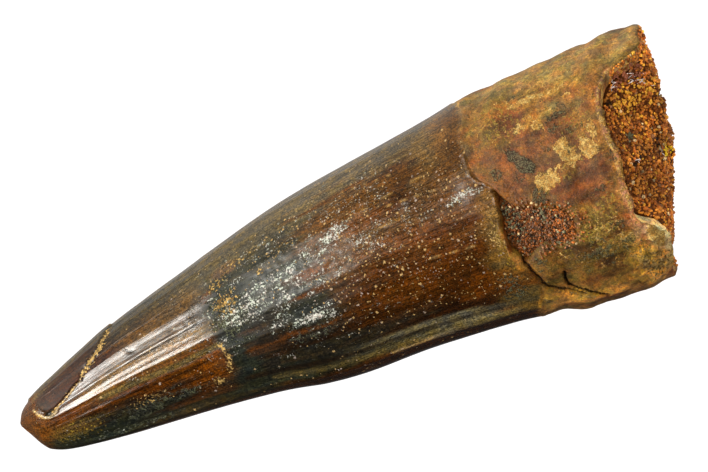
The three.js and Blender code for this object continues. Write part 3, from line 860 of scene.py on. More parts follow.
class ToothShader(Shader):
    """The finish of the tooth, with the noises that its layers share. Sizes are millimetres."""

    def __init__(self):
        super().__init__("weathered tooth")
        self.place = self.node("TexCoord", {}, "Object")
        self.fan = self.stored("fan", "Vector")
        self.crown = self.stored("crown")
        self.striae = self.lumps(self.fan, 0.24, 3.0)
        self.fine_striae = self.lumps(self.fan, 0.09)
        self.lines = self.times(self.add(self.striae, self.fine_striae), 0.5)
        self.grain = self.lumps(self.place, 0.3, 6.0, 0.7)
        self.fine_grain = self.lumps(self.place, 0.1, 3.0, 0.7)
        self.glow = self.lumps(self.place, 0.8, 4.0)
        self.mottles = self.lumps(self.place, 0.2, 3.0, 0.7)

    def blend(self, root, crown):
        return self.node("Mix", {0: self.crown, 2: root, 3: crown})

    def two_tints(self, colour, first, second, value):
        """The colour in patches of two tints, the second one where the value is high."""
        first, second = (self.vector("MULTIPLY", colour, tint) for tint in (first, second))
        return self.mix(self.step(value, 0.38, 0.62), first, second)

    def two_shades(self, first, second, value, low, high):
        """Two named colours, the second one where the value is high."""
        return self.mix(self.step(value, low, high), shade(first), shade(second))

    def cover(self, share, colour):
        """Lays a layer over the colour so far."""
        self.colour = self.mix(share, self.colour, colour)


def tone_of(s):
    """How bright the paint is: striated on the crown and grainy on the root."""
    furrow = s.size_of(s.less(s.lumps(s.fan, 0.55, 3.0), 0.5))
    streaky = s.steps((s.lines, 0.38, 0.62, 0.66, 1.38), (furrow, 0.002, 0.02, 0.55, 1.0))
    streaky = s.node("Mix", {0: s.stored("striated"), 2: 1.0, 3: streaky})
    sparkle = ((s.mottles, 0.36, 0.64, 0.68, 1.34), (s.fine_grain, 0.32, 0.68, 0.55, 1.5))
    grains = ((s.grain, 0.34, 0.66, 0.62, 1.36), (s.fine_grain, 0.32, 0.68, 0.66, 1.36))
    patches = (s.lumps(s.place, 1.4, 3.0), 0.38, 0.62, 0.74, 1.26)
    return s.blend(s.steps(*grains, patches), s.times(streaky, s.steps(*sparkle)))


def base_colour(s):
    """The stored paint in warm and cool patches, and in red and green ones on the root."""
    paint = s.stored("paint", "Vector")
    colour = s.two_tints(paint, COOL, WARM, s.glow)
    root = s.two_tints(colour, GREENISH, REDDISH, s.lumps(s.place, 1.1, 4.0))
    specks = s.step(s.lumps(s.place, 0.12), 0.3, 0.37, 0.35, 1.0)
    return s.scale(s.mix(s.crown, root, colour), s.times(tone_of(s), specks))


def spots(s, size, shift, largest):
    """Small rough spots, in as many of the cells as the stored density says."""
    wobble = s.scale(s.lumps(s.place, 0.09, 2.0, 0.7, 1), size * MM * 0.7)
    place = s.vector("ADD", s.vector("ADD", s.place, (shift, 0, 0)), wobble)
    reach = s.step(s.draw(place, size, "Green"), 0.0, 1.0, 0.0, largest)
    edge = s.less(reach, s.cells(place, size, "Distance"))
    ragged = s.add(edge, s.step(s.fine_grain, 0.35, 0.65, -0.08, 0.08))
    present = s.math("LESS_THAN", s.draw(place, size), s.stored("dots"))
    return s.times(present, s.step(ragged, -0.03, 0.05))


def lay_dots(s):
    dots = s.most(spots(s, 0.36, 0.0, 0.31), spots(s, 0.2, 0.1, 0.34))
    s.cover(s.times(dots, 0.78), s.two_shades("speck", "shell", s.glow, 0.5, 0.62))
    return dots


def lay_flakes(s, name, size, low, high, share, colour, *uneven):
    """Covers a stored field, broken up at its edge into flakes and grains of an uneven colour."""
    broken = s.times(s.less(s.lumps(s.place, size, 4.0, 0.68), 0.5), 1.8)
    flaked = s.step(s.add(s.stored(name), broken), low, high)
    s.cover(s.times(flaked, share), s.scale(colour, s.steps(*uneven)) if uneven else colour)
    return flaked


def lay_lichen(s):
    colour = s.two_shades("root olive", "lichen", s.grain, 0.42, 0.6)
    lay_flakes(s, "lichen", 0.28, 0.45, 0.55, 0.75, colour, (s.fine_grain, 0.3, 0.7, 0.45, 1.5))


def lay_cream(s):
    colour = s.two_shades("root gold", "cream", s.grain, 0.44, 0.62)
    uneven = (s.fine_grain, 0.35, 0.65, 0.6, 1.25), (s.mottles, 0.36, 0.64, 0.75, 1.2)
    return lay_flakes(s, "cream", 0.4, 0.46, 0.56, 0.76, colour, *uneven)


def lay_soot(s):
    colour = s.two_shades("black", "soot", s.fine_grain, 0.46, 0.58)
    return lay_flakes(s, "soot", 0.3, 0.44, 0.56, 0.8, colour)


def lay_dust_and_sheen(s):
    """A thin grey film, partly of fine dirt and partly a painted sheen, and chalky clumps in it."""
    dust_and_sheen = s.stored("dust_and_sheen")
    gate = s.times(s.lumps(s.place, 0.9, 4.0, 0.7), 0.6)
    streaks = s.times(s.lumps(s.fan, 0.3), 0.3)
    heap = s.add(s.lumps(s.place, 0.16, 4.0, 0.75), gate, s.times(dust_and_sheen, 0.42), streaks)
    clumps = s.times(s.step(heap, 1.15, 1.23), s.step(dust_and_sheen, 0.01, 0.08))
    # This grey film stands partly for a sheen on the rough enamel, painted in.
    sheen_haze = s.step(s.add(gate, s.times(dust_and_sheen, 0.5)), 0.4, 0.7, 0.0, 0.12)
    s.cover(s.times(sheen_haze, s.step(dust_and_sheen, 0.05, 0.2)), shade("sheen ash"))
    tint = s.two_shades("mint", "shell", s.lumps(s.place, 0.6), 0.42, 0.58)
    chalky = s.mix(s.step(s.fine_grain, 0.4, 0.62), tint, shade("chalk"))
    s.cover(s.times(clumps, 0.9), chalky)
    return clumps


def lay_gold(s):
    colour = s.two_shades("dark gold", "gold", s.draw(s.place, 0.16), 0.1, 0.9)
    return lay_flakes(s, "gold", 0.2, 0.48, 0.54, 1.0, colour)


def seam(s, axis, width, jag):
    """A thin line along a stored distance, moved about by the jag."""
    signed = s.node("SeparateXYZ", {0: s.stored("seams", "Vector")}, axis)
    beside = s.node("SeparateXYZ", {0: s.stored("beside", "Vector")}, axis)
    shift = s.times(s.less(s.lumps(s.place, 0.4, 5.0, 0.7), 0.5), jag)
    rough = s.step(s.grain, 0.3, 0.7, -0.5 * width, 0.5 * width)
    reach = s.less(s.size_of(s.add(signed, shift)), rough)
    return s.times(beside, s.step(reach, 0.5 * width, 1.5 * width, 1.0, 0.0))


def lay_crack_shade(s):
    cracks = s.most(seam(s, "X", 0.07, 0.8), seam(s, "Y", 0.07, 0.6), seam(s, "Z", 0.05, 0.3))
    # The black along the cracks and the notch is painted shade inside them.
    s.cover(s.times(cracks, 0.9), shade("black"))
    return cracks


def tooth_material():
    s = ToothShader()
    s.colour = base_colour(s)
    dots = lay_dots(s)
    lay_lichen(s)
    cream = lay_cream(s)
    soot = lay_soot(s)
    clumps = lay_dust_and_sheen(s)
    gold = lay_gold(s)
    cracks = lay_crack_shade(s)

    dull = s.most(clumps, gold, dots, soot)
    polish = s.stored("polish")
    roughness = s.add(s.step(polish, 0.0, 1.0, 0.62, 0.2), s.step(s.lines, 0.4, 0.6, 0.0, 0.12))
    crown_height = s.add(s.times(s.striae, 0.017), s.times(s.fine_striae, 0.005))
    root_height = s.add(s.times(s.grain, 0.13), s.times(s.fine_grain, 0.04))
    flakes_height = s.times(s.add(dull, cream), 0.025)
    s.bump(s.add(s.blend(root_height, crown_height), flakes_height, s.times(cracks, -0.12)))
    s.set(Base_Color=s.colour, Roughness=s.add(roughness, s.times(dull, 0.25)), IOR=ENAMEL_IOR)
    glaze = s.step(polish, CROWN_POLISH + 0.01, 1.0, 0.0, GLAZE_SHARE)
    s.set(Coat_Weight=glaze, Coat_Roughness=GLAZE_ROUGHNESS, Coat_IOR=GLAZE_IOR)
    return s.material


def outer_points(skin):
    """The outer surface with its relief, its blunt tip and the worn edge of its broken end."""
    tip = 1 - smoothstep(skin.x, 0.2, 1.6)
    worn = smoothstep(skin.x - broken_base(skin.angle), -0.5, 0.1) ** 2
    angle, reach = SHARPER_EDGE
    worn = worn * lerp(1, 0.25, within(np.abs(degrees_apart(skin.angle, angle)), reach, 12))
    raised = relief(skin) + TIP_SWELLING * tip - EDGE_WEAR * worn
    chipped = smoothstep(skin.x - broken_base(skin.angle), -0.8, 0) * skin.mottle(0.55, 35)
    x = skin.x - TIP_BLUNTNESS * tip + EDGE_CHIPS * chipped
    y = skin.y_mid + (skin.half_width + raised) * skin.cos
    z = np.maximum(skin.z_mid + (skin.half_height + raised) * skin.sin, 0)
    return np.stack([x, y, z], -1)


def outer_rim(angle):
    """The outer edge of the broken end."""
    return outer_points(Skin(broken_base(angle), angle))


def outer_grid():
    """Places on the outer surface, ring by ring: distance from the tip and angle."""
    plans = [np.linspace(start, end, count, endpoint=False) for start, end, count in RINGS]
    nominal = np.concatenate([*plans, [MEAN_BASE]])[:, None]
    turns = np.arange(COLUMNS) / COLUMNS
    angle = (360 * turns + np.degrees(TOP_CROWDING) * np.cos(2 * np.pi * turns)) % 360
    edge = enamel_edge(angle)
    beyond = (nominal - MEAN_ENAMEL_EDGE) / (MEAN_BASE - MEAN_ENAMEL_EDGE)
    on_root = lerp(edge, broken_base(angle), beyond)
    return np.where(beyond <= 0, nominal * edge / MEAN_ENAMEL_EDGE, on_root), angle


def rim_colour(rim, angle):
    """Dentine on the broken end, and a pale break at the knob, painted lighter still as painted light on
    that end, which faces away from the key.
    """
    broken = clamp(0.6 + 0.5 * noise(*rim.T, 0.6, 53).T + 0.4 * noise(*rim.T, 0.25, 54).T)
    fresh = within(np.abs(degrees_apart(angle, KNOB[1])), LIT_BREAK_REACH, 4)
    return lay(lay(shade("root red"), "dentine", broken), "brightened fresh break", fresh)


def skin_values(skin, broken_colour):
    """What the finish needs at each place, and its value on the broken rim and in the hollow."""
    signed, beside = np.moveaxis([skin.seams(routes) for routes in SEAMS], 0, -1)
    fan = np.stack([skin.x / FAN_STRETCH, FAN_RADIUS * skin.cos, FAN_RADIUS * skin.sin], -1) * MM
    striated = 1 - 0.75 * smoothstep(skin.x + 0.6 * skin.fringe, 36.5, 39.5)
    return {
        "paint": (skin_colour(skin), broken_colour),
        "dust_and_sheen": (dust_and_sheen_on(skin), 0),
        **{kind: (reach, 0) for kind, reach in flake_fields(skin).items()},
        "dots": (skin.crown * (FEW_DOTS + skin.patches(DOT_PATCHES)), 0),
        "polish": (polish_of(skin), RIM_POLISH),
        "crown": (skin.enamel, 0),
        "striated": (striated, 0),
        "seams": (signed, 1),
        "beside": (beside, 0),
        "fan": (fan, fan[-1]),
    }


def make_tooth():
    skin = Skin(*outer_grid())
    angle = skin.angle[-1]
    outer = outer_points(skin)
    rim = np.array([rim_point(angle, outer[-1], i / RIM_RINGS) for i in range(1, RIM_RINGS + 1)])
    depths = np.linspace(RIM_BEVEL, PULP_DEPTH, HOLLOW_RINGS)[1:]
    inside = np.array([hollow_ring(depth, angle, 0) for depth in depths])
    points, faces, corners = closed_tube(np.concatenate([outer, rim, inside]))
    piece = mesh_piece("tooth_surface", points, faces, tooth_material())
    put_map(piece, corners)
    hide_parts("tooth")

    broken = np.concatenate([rim_colour(rim, angle), np.broadcast_to(shade("root red"), inside.shape)])
    for name, (values, beyond_rim) in skin_values(skin, broken).items():
        tail = np.broadcast_to(beyond_rim, (len(broken), *values.shape[1:]))
        whole = np.concatenate([values, tail]).reshape(-1, *values.shape[2:])
        put_values(piece, name, np.concatenate([whole, whole[:1], whole[-1:]]))


# ---------- sandstone ----------


def hollow_ring(depth, angle, inset):
    """A ring on the wall of the pulp hollow, or that much inside it, at a depth from the base."""
    share = depth / PULP_DEPTH
    x = lerp(broken_base(angle), MEAN_BASE - PULP_DEPTH, share)
    y, z, half_width, half_height = section_at(x)
    narrowing = math.sqrt(1 - PULP_NARROWING * share**3)
    turn = np.radians(angle)
    return np.stack([
        x + inset,
        y + (half_width - WALL - inset) * narrowing * np.cos(turn),
        z + (half_height - WALL - inset) * narrowing * np.sin(turn),
    ], -1)


def rim_point(angle, outer, share):
    """A place on the broken end of the wall, from its outer edge to the edge of the hollow."""
    point = lerp(outer, hollow_ring(RIM_BEVEL, angle, 0), share)
    rough = 0.14 * noise(*point.T, 0.5, 51) + 0.1 * noise(*point.T, 0.25, 52)
    point[:, 0] += 1.2 * rough * np.sin(np.pi * share)
    return point


def ball():
    """Points and faces of a ball of 20 triangles."""
    mesh = bmesh.new()
    bmesh.ops.create_icosphere(mesh, subdivisions=1, radius=1)
    points = np.array([vertex.co[:] for vertex in mesh.verts])
    faces = np.array([[vertex.index for vertex in face.verts] for face in mesh.faces])
    mesh.free()
    return points, faces


def random_turns(count, rng):
    """Random rotations."""
    q = rng.normal(size=(count, 4))
    q /= np.linalg.norm(q, axis=1)[:, None]
    w, x, y, z = q.T
    return np.stack([
        np.stack([1 - 2 * (y * y + z * z), 2 * (x * y - w * z), 2 * (x * z + w * y)], -1),
        np.stack([2 * (x * y + w * z), 1 - 2 * (x * x + z * z), 2 * (y * z - w * x)], -1),
        np.stack([2 * (x * z - w * y), 2 * (y * z + w * x), 1 - 2 * (x * x + y * y)], -1),
    ], 1)


def scatter(points, quads, spacing, rng):
    """Places on a surface, no two closer than the spacing."""
    triangles = points[np.concatenate([quads[:, :3], quads[:, [0, 2, 3]]])]
    edges = triangles[:, 1:] - triangles[:, :1]
    areas = np.linalg.norm(np.cross(edges[:, 0], edges[:, 1]), axis=1) / 2
    tries = int(14 * areas.sum() / spacing**2)
    chosen = rng.choice(len(triangles), tries, p=areas / areas.sum())
    a, b = rng.uniform(size=(2, tries, 1))
    a, b = np.where(a + b > 1, 1 - a, a), np.where(a + b > 1, 1 - b, b)
    places = triangles[chosen, 0] + a * edges[chosen, 0] + b * edges[chosen, 1]
    taken = {}
    kept = []
    steps = [(i, j, k) for i in (-1, 0, 1) for j in (-1, 0, 1) for k in (-1, 0, 1)]
    for index, (place, cell) in enumerate(zip(places.tolist(), (places // spacing).astype(int).tolist())):
        around = (taken.get((cell[0] + i, cell[1] + j, cell[2] + k), ()) for i, j, k in steps)
        if all(math.dist(place, other) > spacing for others in around for other in others):
            taken.setdefault(tuple(cell), []).append(place)
            kept.append(index)
    return places[kept]


def grain_shapes(radii, rng):
    """A stretch and a random turn for each grain, as matrices."""
    count = len(radii)
    return random_turns(count, rng) * radii[:, None, None] * rng.uniform(0.7, 1.2, (count, 1, 3))


def rod_shapes(starts, ends, radius):
    """Matrices that draw a ball out into a thin rod from each start to its end."""
    along = 0.55 * (ends - starts)  # a little over half, so that the rods meet
    side = np.cross(along, (0.2, 0.3, 0.9))
    side *= radius / np.linalg.norm(side, axis=1)[:, None]
    up = np.cross(along, side)
    up *= radius / np.linalg.norm(up, axis=1)[:, None]
    return np.stack([along, side, up], -1)


def grains(centres, shapes, rng):
    """Joined angular grains: their points, faces and map corners."""
    points, faces = ball()
    count = len(centres)
    dents = 1 + rng.uniform(-0.2, 0.2, (count, len(points), 1))
    placed = centres[:, None] + np.einsum("nij,nkj->nki", shapes, points[None] * dents)
    all_faces = faces[None] + (np.arange(count) * len(points))[:, None, None]

    side = math.ceil(math.sqrt(count))
    cell = np.stack([np.arange(count) % side, np.arange(count) // side], -1) / side
    spin = np.sqrt((1 - points[:, 2]) / 2) / np.maximum(np.hypot(points[:, 0], points[:, 1]), 1e-6)
    disc = 0.5 + 0.46 * points[:, :2] * spin[:, None]
    corners = cell[:, None, None] + disc[faces][None] / side
    return placed.reshape(-1, 3), all_faces.reshape(-1, 3), corners.reshape(-1, 2)


SAND_COLOURS = {
    "orange": (196, 122, 44), "rust": (166, 92, 34), "brown": (116, 66, 27), "yellow": (216, 154, 50),
    "bright yellow": (244, 196, 30), "pale": (206, 172, 120), "grey": (108, 102, 74), "dark": (46, 32, 20),
    "pink": (146, 100, 64), "wine": (142, 84, 58), "bed": (84, 45, 16), "pit bed": (74, 50, 32),
    "fibre": (226, 208, 196), "dark fibre": (44, 38, 44),
}


def sand_material(name):
    s = Shader(name)
    place = s.node("TexCoord", {}, "Object")
    grain = s.lumps(place, 0.14, 3.0)
    fine = s.lumps(place, 0.05, 2.0)
    colour = s.scale(s.stored("paint", "Vector"), s.step(grain, 0.3, 0.7, 0.55, 1.35))
    roughness = s.step(fine, 0.35, 0.65, 0.35, 0.65)
    s.bump(s.add(s.times(grain, 0.06), s.times(fine, 0.015)))
    s.set(Base_Color=colour, Roughness=roughness, IOR=1.5)
    return s.material


def mix_of(names, weights, count, rng):
    """A colour for each grain, drawn from the named ones and varied a little."""
    table = np.array([linear(SAND_COLOURS[name]) for name in names])
    drawn = table[rng.choice(len(names), count, p=np.array(weights) / sum(weights))]
    return drawn * rng.uniform(0.75, 1.25, (count, 1))


def closed_tube(rings):
    """A tube of rings closed at both ends: points, faces and map corners."""
    count, columns, _ = rings.shape
    total = count * columns
    faces, corners = tube_faces(count, columns)
    points = np.concatenate([rings.reshape(-1, 3), [rings[0].mean(0), rings[-1].mean(0)]])
    faces = faces.tolist()
    corners = corners.reshape(-1, 2).tolist()
    last = total - columns
    for i in range(columns):
        after = (i + 1) % columns
        faces.append([total, after, i])
        corners += [[(i + 0.5) / columns, 0], [(i + 1) / columns, 0], [i / columns, 0]]
        faces.append([total + 1, last + i, last + after])
        corners += [[(i + 0.5) / columns, 1], [i / columns, 1], [(i + 1) / columns, 1]]
    return points, faces, corners


BASE_SHARE = 0.3  # of the map, kept for the bed under the grains


def join_sand(name, rings, bed_colour, centres, shapes, colours, rng):
    """The bed and its grains as one mesh."""
    base, base_faces, base_corners = closed_tube(rings)
    base_corners = np.array(base_corners) * (BASE_SHARE, 1)
    points, faces, corners = grains(centres, shapes, rng)
    corners = corners * (1 - BASE_SHARE, 1) + (BASE_SHARE, 0)
    per_grain = len(points) // len(centres)
    all_points = np.concatenate([base, points])
    all_faces = [*base_faces, *(faces + len(base)).tolist()]
    piece = mesh_piece(name, all_points, all_faces, sand_material(name), False)
    bed = np.broadcast_to(linear(SAND_COLOURS[bed_colour]), (len(base), 3))
    put_values(piece, "paint", np.concatenate([bed, np.repeat(colours, per_grain, 0)]))
    put_map(piece, np.concatenate([base_corners, corners]))
    return piece


# Sand grains on the broken end and in the pit: spacing, usual radius, range of sizes as shares of
# that radius, and how unevenly they stand out.
FACE_SPACING = 0.175
FACE_GRAIN = 0.135
FACE_SIZES = (0.6, 1.35)
FACE_UNEVENNESS = 0.06
PIT_SPACING = 0.11
PIT_GRAIN = 0.095
PIT_SIZES = (0.5, 1.35)
PIT_UNEVENNESS = 0.05
PIT_STANDING_OUT = 0.06
FIBRE_RADIUS = 0.035
CORE_RINGS = 6
CORE_COLUMNS = 160
FACE_RINGS = 42
WALL_STEPS = 160
WALL_ROWS = 8
SANDY_RIM = (-165, 44)  # angles where sand covers the broken end of the wall
# Stretches of the sand of one colour: y, z, reach along each, share of the grains and colour.
SAND_AREAS = [
    (4.2, 11.8, 1.3, 1.5, 0.5, "yellow"), (5.2, 12.7, 0.7, 0.6, 0.8, "orange"),
    (5.7, 12.0, 0.7, 0.8, 0.55, "wine"), (-0.5, 7.0, 0.5, 1.4, 0.95, "bright yellow"),
    (0.5, 11.7, 0.35, 0.9, 0.95, "orange"), (0.4, 9.5, 0.3, 0.6, 0.8, "dark"),
    (4.4, 12.9, 0.3, 0.3, 0.7, "dark"), (1.5, 12.7, 0.4, 0.5, 0.7, "grey"),
    (-0.3, 12.7, 0.4, 0.5, 0.7, "dark"),
]
# Fibres stuck to the sand: colour and corners of (y, z).
FIBRES = [
    ("fibre", [(5.9, 12.0), (5.5, 11.6), (5.4, 11.0)]),
    ("fibre", [(5.5, 11.6), (5.2, 11.3), (4.9, 11.0)]),
    ("fibre", [(5.2, 12.6), (5.6, 12.3), (5.9, 12.6)]), ("fibre", [(5.3, 12.0), (5.5, 12.5)]),
    ("fibre", [(4.9, 11.0), (4.3, 10.5)]), ("fibre", [(-0.1, 13.0), (-0.5, 12.6)]),
    ("fibre", [(-0.2, 8.9), (-0.8, 8.5)]),
    ("dark fibre", [(0.8, 9.9), (0.3, 9.6), (0.0, 9.2), (-0.6, 9.1)]),
    ("dark fibre", [(5.7, 11.4), (5.2, 11.6)]),
]
FIBRE_PIECES = 4  # between two corners
FIBRE_WAVER = (0.05, 0.12)  # across and up the slope, which is seen foreshortened


def lie_on(centres, route):
    """Corners of (y, z), laid on the nearest grains."""
    apart = np.hypot(*(centres[:, None, 1:] - route).transpose(2, 0, 1))
    return np.column_stack([centres[apart.argmin(0), 0] + FACE_GRAIN, route])


def core_rings():
    """The sides of the sandstone in the hollow, and its bulging face from the rim inwards."""
    angle = np.arange(CORE_COLUMNS) * 360 / CORE_COLUMNS
    depths = np.linspace(PULP_DEPTH, RIM_BEVEL, CORE_RINGS)
    sides = np.array([hollow_ring(depth, angle, SAND_CLEARANCE) for depth in depths])
    face = []
    for out in np.linspace(1, 0, FACE_RINGS + 2)[1:-1]:
        ring = lerp(sides[-1].mean(0), sides[-1], out)
        lumps = face_noise(ring, (0.3, 2.4, 62), (0.22, 0.9, 63), (0.12, 0.5, 64))
        ring[:, 0] += SAND_BULGE * (1 - out**3) + lumps * (1 - out**4)
        face.append(ring)
    return sides, np.array(face)


def face_noise(points, *layers):
    """Noise over the broken end, each layer with its strength, size and seed."""
    _, y, z = points.T
    return sum(strength * noise(0 * y, y, z, size, seed) for strength, size, seed in layers)


def sandy_wall():
    """The stretch of the broken wall that sand covers: points and faces."""
    at = np.linspace(*SANDY_RIM, WALL_STEPS) % 360
    outer = outer_rim(at)
    strip = np.array([rim_point(at, outer, share) for share in np.linspace(0.12, 1, WALL_ROWS)])
    index = np.arange(WALL_ROWS - 1)[:, None] * WALL_STEPS + np.arange(WALL_STEPS - 1)
    quads = np.stack([index, index + 1, index + WALL_STEPS + 1, index + WALL_STEPS], -1)
    return strip.reshape(-1, 3), quads.reshape(-1, 4)


def core_colours(centres, rng):
    """Mostly orange and brown grains, lighter to the front, with areas of other colours."""
    names = ["orange", "rust", "brown", "yellow", "pale", "pink"]
    colours = mix_of(names, [36, 30, 24, 5, 2, 3], len(centres), rng)
    _, y, z = centres.T
    colours *= (1 + face_noise(centres, (0.35, 1.1, 65), (0.25, 0.5, 66)))[:, None]
    colours *= lerp(1.15, 1.7, smoothstep(y, 5, 7.2))[:, None]
    for y_at, z_at, y_reach, z_reach, share, name in SAND_AREAS:
        near = within(np.hypot((y - y_at) / y_reach, (z - z_at) / z_reach), 1, 0.3)
        chosen = rng.uniform(size=len(y)) < share * near
        colours[chosen] = mix_of([name], [1], chosen.sum(), rng)
    return colours


def fibre_rods(route, on_grains, rng):
    """The thin rods of one fibre, which wavers a little from corner to corner: starts and ends."""
    share = np.linspace(0, len(route) - 1, FIBRE_PIECES * (len(route) - 1) + 1)
    route = np.stack([np.interp(share, range(len(route)), part) for part in zip(*route)], -1)
    route = lie_on(on_grains, route + rng.normal(0, FIBRE_WAVER, route.shape))
    return route[:-1], route[1:]


def make_core():
    rng = np.random.default_rng(61)
    sides, face = core_rings()
    quads, _ = tube_faces(len(face) + 1, CORE_COLUMNS)
    places = scatter(np.concatenate([sides[-1:], face]).reshape(-1, 3), quads, FACE_SPACING, rng)
    centres = np.concatenate([places, scatter(*sandy_wall(), FACE_SPACING, rng)])
    centres[:, 0] += rng.normal(0, FACE_UNEVENNESS, len(centres))
    shapes = grain_shapes(FACE_GRAIN * rng.uniform(*FACE_SIZES, len(centres)), rng)
    colours = core_colours(centres, rng)

    on_grains = centres
    for name, route in FIBRES:
        starts, ends = fibre_rods(route, on_grains, rng)
        centres = np.concatenate([centres, (starts + ends) / 2])
        shapes = np.concatenate([shapes, rod_shapes(starts, ends, FIBRE_RADIUS)])
        colours = np.concatenate([colours, mix_of([name], [1], len(starts), rng)])
    piece = join_sand("pulp_sand", np.concatenate([sides, face]), "bed", centres, shapes, colours, rng)
    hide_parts("pulp_sandstone")


PIT_MIDDLE = (42.9, -1.9)
PIT_COLUMNS = 60
# The rings of the crust: how far out of its middle, and height over the floor of the pit.
CRUST_UNDER = [(0.3, 0.02), (0.6, 0.02), (0.86, 0.02)]
CRUST_OVER = [
    (0.93, 0.16), (0.86, 0.3), *((out, 0.34) for out in (0.76, 0.66, 0.56, 0.46, 0.36, 0.26, 0.16, 0.08)),
]
SPILT_GRAINS = 420
SPILT_BEYOND = 42.4
SPILT_REACH = (0.85, 1.3)  # shares of the way from the middle of the pit to its edge
PILED_UP = 0.3  # against the steep wall on the side of the crown


def pit_edge():
    """The outline of the pit in equal steps."""
    outline = np.array([*PIT_OUTLINE, PIT_OUTLINE[0]])
    steps = np.concatenate([[0], np.hypot(*np.diff(outline, axis=0).T).cumsum()])
    share = np.arange(PIT_COLUMNS) / PIT_COLUMNS * steps[-1]
    return np.stack([np.interp(share, steps, outline[:, k]) for k in (0, 1)], -1)[::-1]


def crust_ring(edge, out, height):
    x, y = lerp(np.array(PIT_MIDDLE), edge, out).T
    floor = top_height(x, y) - ENAMEL_STEP - pit_depth(x)
    lumps = 0.1 * noise(x, y, 0 * x, 0.6, 72) + PILED_UP * within(x, 42.1, 0.9)
    return np.stack([x, y, floor + height + lumps * (height > 0.1)], -1)


def spilt_grains(edge, rng):
    """Grains on the root beside the pit."""
    from_edge = edge[rng.integers(0, PIT_COLUMNS, SPILT_GRAINS)]
    places = lerp(np.array(PIT_MIDDLE), from_edge, rng.uniform(*SPILT_REACH, (SPILT_GRAINS, 1)))
    x, y = places[places[:, 0] > SPILT_BEYOND].T
    y_mid, _, half_width, _ = section_at(x)
    angle = np.degrees(np.arccos(np.clip((y - y_mid) / half_width, -1, 1)))
    return outer_points(Skin(x, angle))


def pit_colours(x, y, rng):
    """Warm and cool grains, the cool ones mostly in two places, and lighter to the base."""
    warm = 0.7 * mix_of(["rust", "brown", "pale", "pink", "dark"], [30, 40, 3, 18, 7], len(x), rng)
    cool = 1.05 * mix_of(["grey", "dark", "brown", "pale"], [42, 18, 34, 6], len(x), rng)
    left = within(np.hypot(x - 41.6, (y + 0.6) / 2.2), 0.6, 0.4)
    streak = within(np.hypot((x - 43.9) / 0.6, (y + 1.2) / 1.1), 0.6, 0.4)
    cold = rng.uniform(0, 1, len(x)) < clamp(0.15 + 0.75 * (left + streak))
    return np.where(cold[:, None], cool, warm) * lerp(0.88, 1.45, smoothstep(x, 43.6, 45))[:, None]


def make_pit_crust():
    rng = np.random.default_rng(71)
    edge = pit_edge()
    under, over = (
        np.array([crust_ring(edge, out, height) for out, height in rings])
        for rings in (CRUST_UNDER, CRUST_OVER)
    )
    quads, _ = tube_faces(len(over), PIT_COLUMNS)
    centres = scatter(over.reshape(-1, 3), quads, PIT_SPACING, rng)
    centres[:, 2] += PIT_STANDING_OUT + rng.normal(0, PIT_UNEVENNESS, len(centres))
    centres = np.concatenate([centres, spilt_grains(edge, rng)])
    x, y, _ = centres.T
    shapes = grain_shapes(PIT_GRAIN * rng.uniform(*PIT_SIZES, len(x)), rng)
    colours = pit_colours(x, y, rng)
    rings = np.concatenate([under, over])
    piece = join_sand("pit_sand", rings, "pit bed", centres, shapes, colours, rng)
    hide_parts("pit_sandstone")


# ---------- camera, light and floor ----------

PICTURE = (708, 472)
PIXELS_PER_MM = 13.51
ORIGIN_IN_PICTURE = (360.4, 274.2)
TILT = math.radians(8)
ROLL = math.radians(23.12)
DISTANCE = 900
AIM_HEIGHT = 7.9
SENSOR = 36


def make_camera():
    back = Vector((math.sin(TILT), 0, math.cos(TILT)))
    right = Vector((math.cos(TILT) * math.cos(ROLL), -math.sin(ROLL), -math.sin(TILT) * math.cos(ROLL)))
    up = back.cross(right)
    across = (PICTURE[0] / 2 - ORIGIN_IN_PICTURE[0]) / PIXELS_PER_MM
    upwards = -(PICTURE[1] / 2 - ORIGIN_IN_PICTURE[1]) / PIXELS_PER_MM
    aim = right * across + up * upwards
    # slide along the view so that the aim lies at mid height
    aim += back * ((AIM_HEIGHT - aim.z) / back.z)
    data = bpy.data.cameras.new("camera")
    data.sensor_width = SENSOR
    data.lens = SENSOR * DISTANCE / (PICTURE[0] / PIXELS_PER_MM)
    data.clip_start = 0.01
    data.clip_end = 10
    camera = bpy.data.objects.new("camera", data)
    bpy.context.scene.collection.objects.link(camera)
    place = (aim + back * DISTANCE) * MM
    turn = Matrix((right, up, back)).transposed().to_4x4()
    camera.matrix_world = Matrix.Translation(place) @ turn
    bpy.context.scene.camera = camera


def softbox(name, azimuth, elevation, distance, size, power):
    """A rectangular area light aimed at the middle of the tooth. Azimuth 0 is +X and 90 is +Y."""
    a = math.radians(azimuth)
    e = math.radians(elevation)
    direction = Vector((math.cos(a) * math.cos(e), math.sin(a) * math.cos(e), math.sin(e)))
    data = bpy.data.lights.new(name, "AREA")
    data.shape = "RECTANGLE"
    data.size, data.size_y = size
    data.energy = power
    light = bpy.data.objects.new(name, data)
    light.location = direction * distance
    light.rotation_mode = "QUATERNION"
    light.rotation_quaternion = direction.to_track_quat("Z", "Y")
    light.visible_camera = False
    bpy.context.scene.collection.objects.link(light)
    return light


WALL_DIRECTION = (-0.1, 0.85, -0.5)
ROOM_LIGHT = 0.04
WALL_LIGHT = 0.6


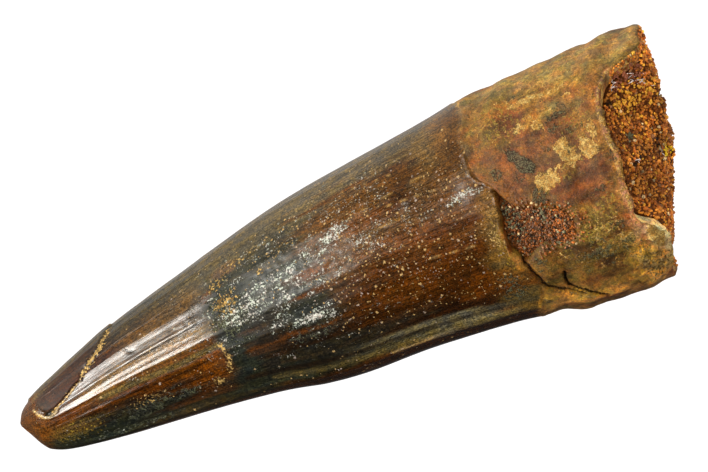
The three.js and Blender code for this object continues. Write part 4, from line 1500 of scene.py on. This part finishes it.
def make_surroundings():
    """A dark room with a pale wall beyond the front edge, which gives that edge its grey sheen."""
    world = bpy.data.worlds.new("studio")
    world.use_nodes = True
    room = Nodes(world.node_tree)
    direction = room.node("TexCoord", {}, "Generated")
    toward_wall = room.vector("DOT_PRODUCT", direction, WALL_DIRECTION, "Value")
    background = room.tree.nodes["Background"]
    room.feed(background.inputs["Strength"], room.step(toward_wall, 0.2, 0.9, ROOM_LIGHT, WALL_LIGHT))
    room.feed(background.inputs["Color"], (1, 1, 1, 1))
    bpy.context.scene.world = world


def light_only(lights, pieces):
    """Keeps the lights to the pieces, and their shadows too."""
    receivers = bpy.data.collections.new(lights[0].name + " receivers")
    for piece in pieces:
        receivers.objects.link(piece)
    for light in lights:
        light.light_linking.receiver_collection = receivers
        light.light_linking.blocker_collection = receivers


# The softboxes: azimuth, elevation, distance and size in metres, and power.
SOFTBOXES = {
    "key": (155, 30, 0.7, (0.2, 0.36), 9.5),
    "overhead": (120, 84, 1.2, (1.8, 1.8), 21),
    "side fill": (-10, 28, 0.8, (0.7, 0.4), 2.2),
    "floor light": (120, 88, 1.5, (2, 2), 44),
}
KEY_COLOUR = (1.0, 0.97, 0.9)
PAPER = (0.9, 0.9, 0.9, 1)
FLOOR_SIZE = 1.6


def make_floor():
    bpy.ops.mesh.primitive_plane_add(size=FLOOR_SIZE)
    floor = bpy.context.object
    floor.name = "floor"
    floor.visible_glossy = False
    paper = Shader("paper")
    paper.set(Base_Color=PAPER, Roughness=0.9)
    floor.data.materials.append(paper.material)
    return floor


def make_studio():
    make_surroundings()
    key, *soft = (softbox(name, *placed) for name, placed in SOFTBOXES.items())
    key.data.color = KEY_COLOUR
    for light in soft:
        light.visible_glossy = False
    fossil = [piece for piece in bpy.context.scene.collection.objects if piece.type == "MESH"]
    overhead, side_fill, floor_light = soft
    light_only((key, overhead, side_fill), fossil)
    light_only((floor_light,), (make_floor(),))


make_tooth()
make_core()
make_pit_crust()
make_camera()
make_studio()
bpy.context.scene.view_settings.view_transform = "Standard"
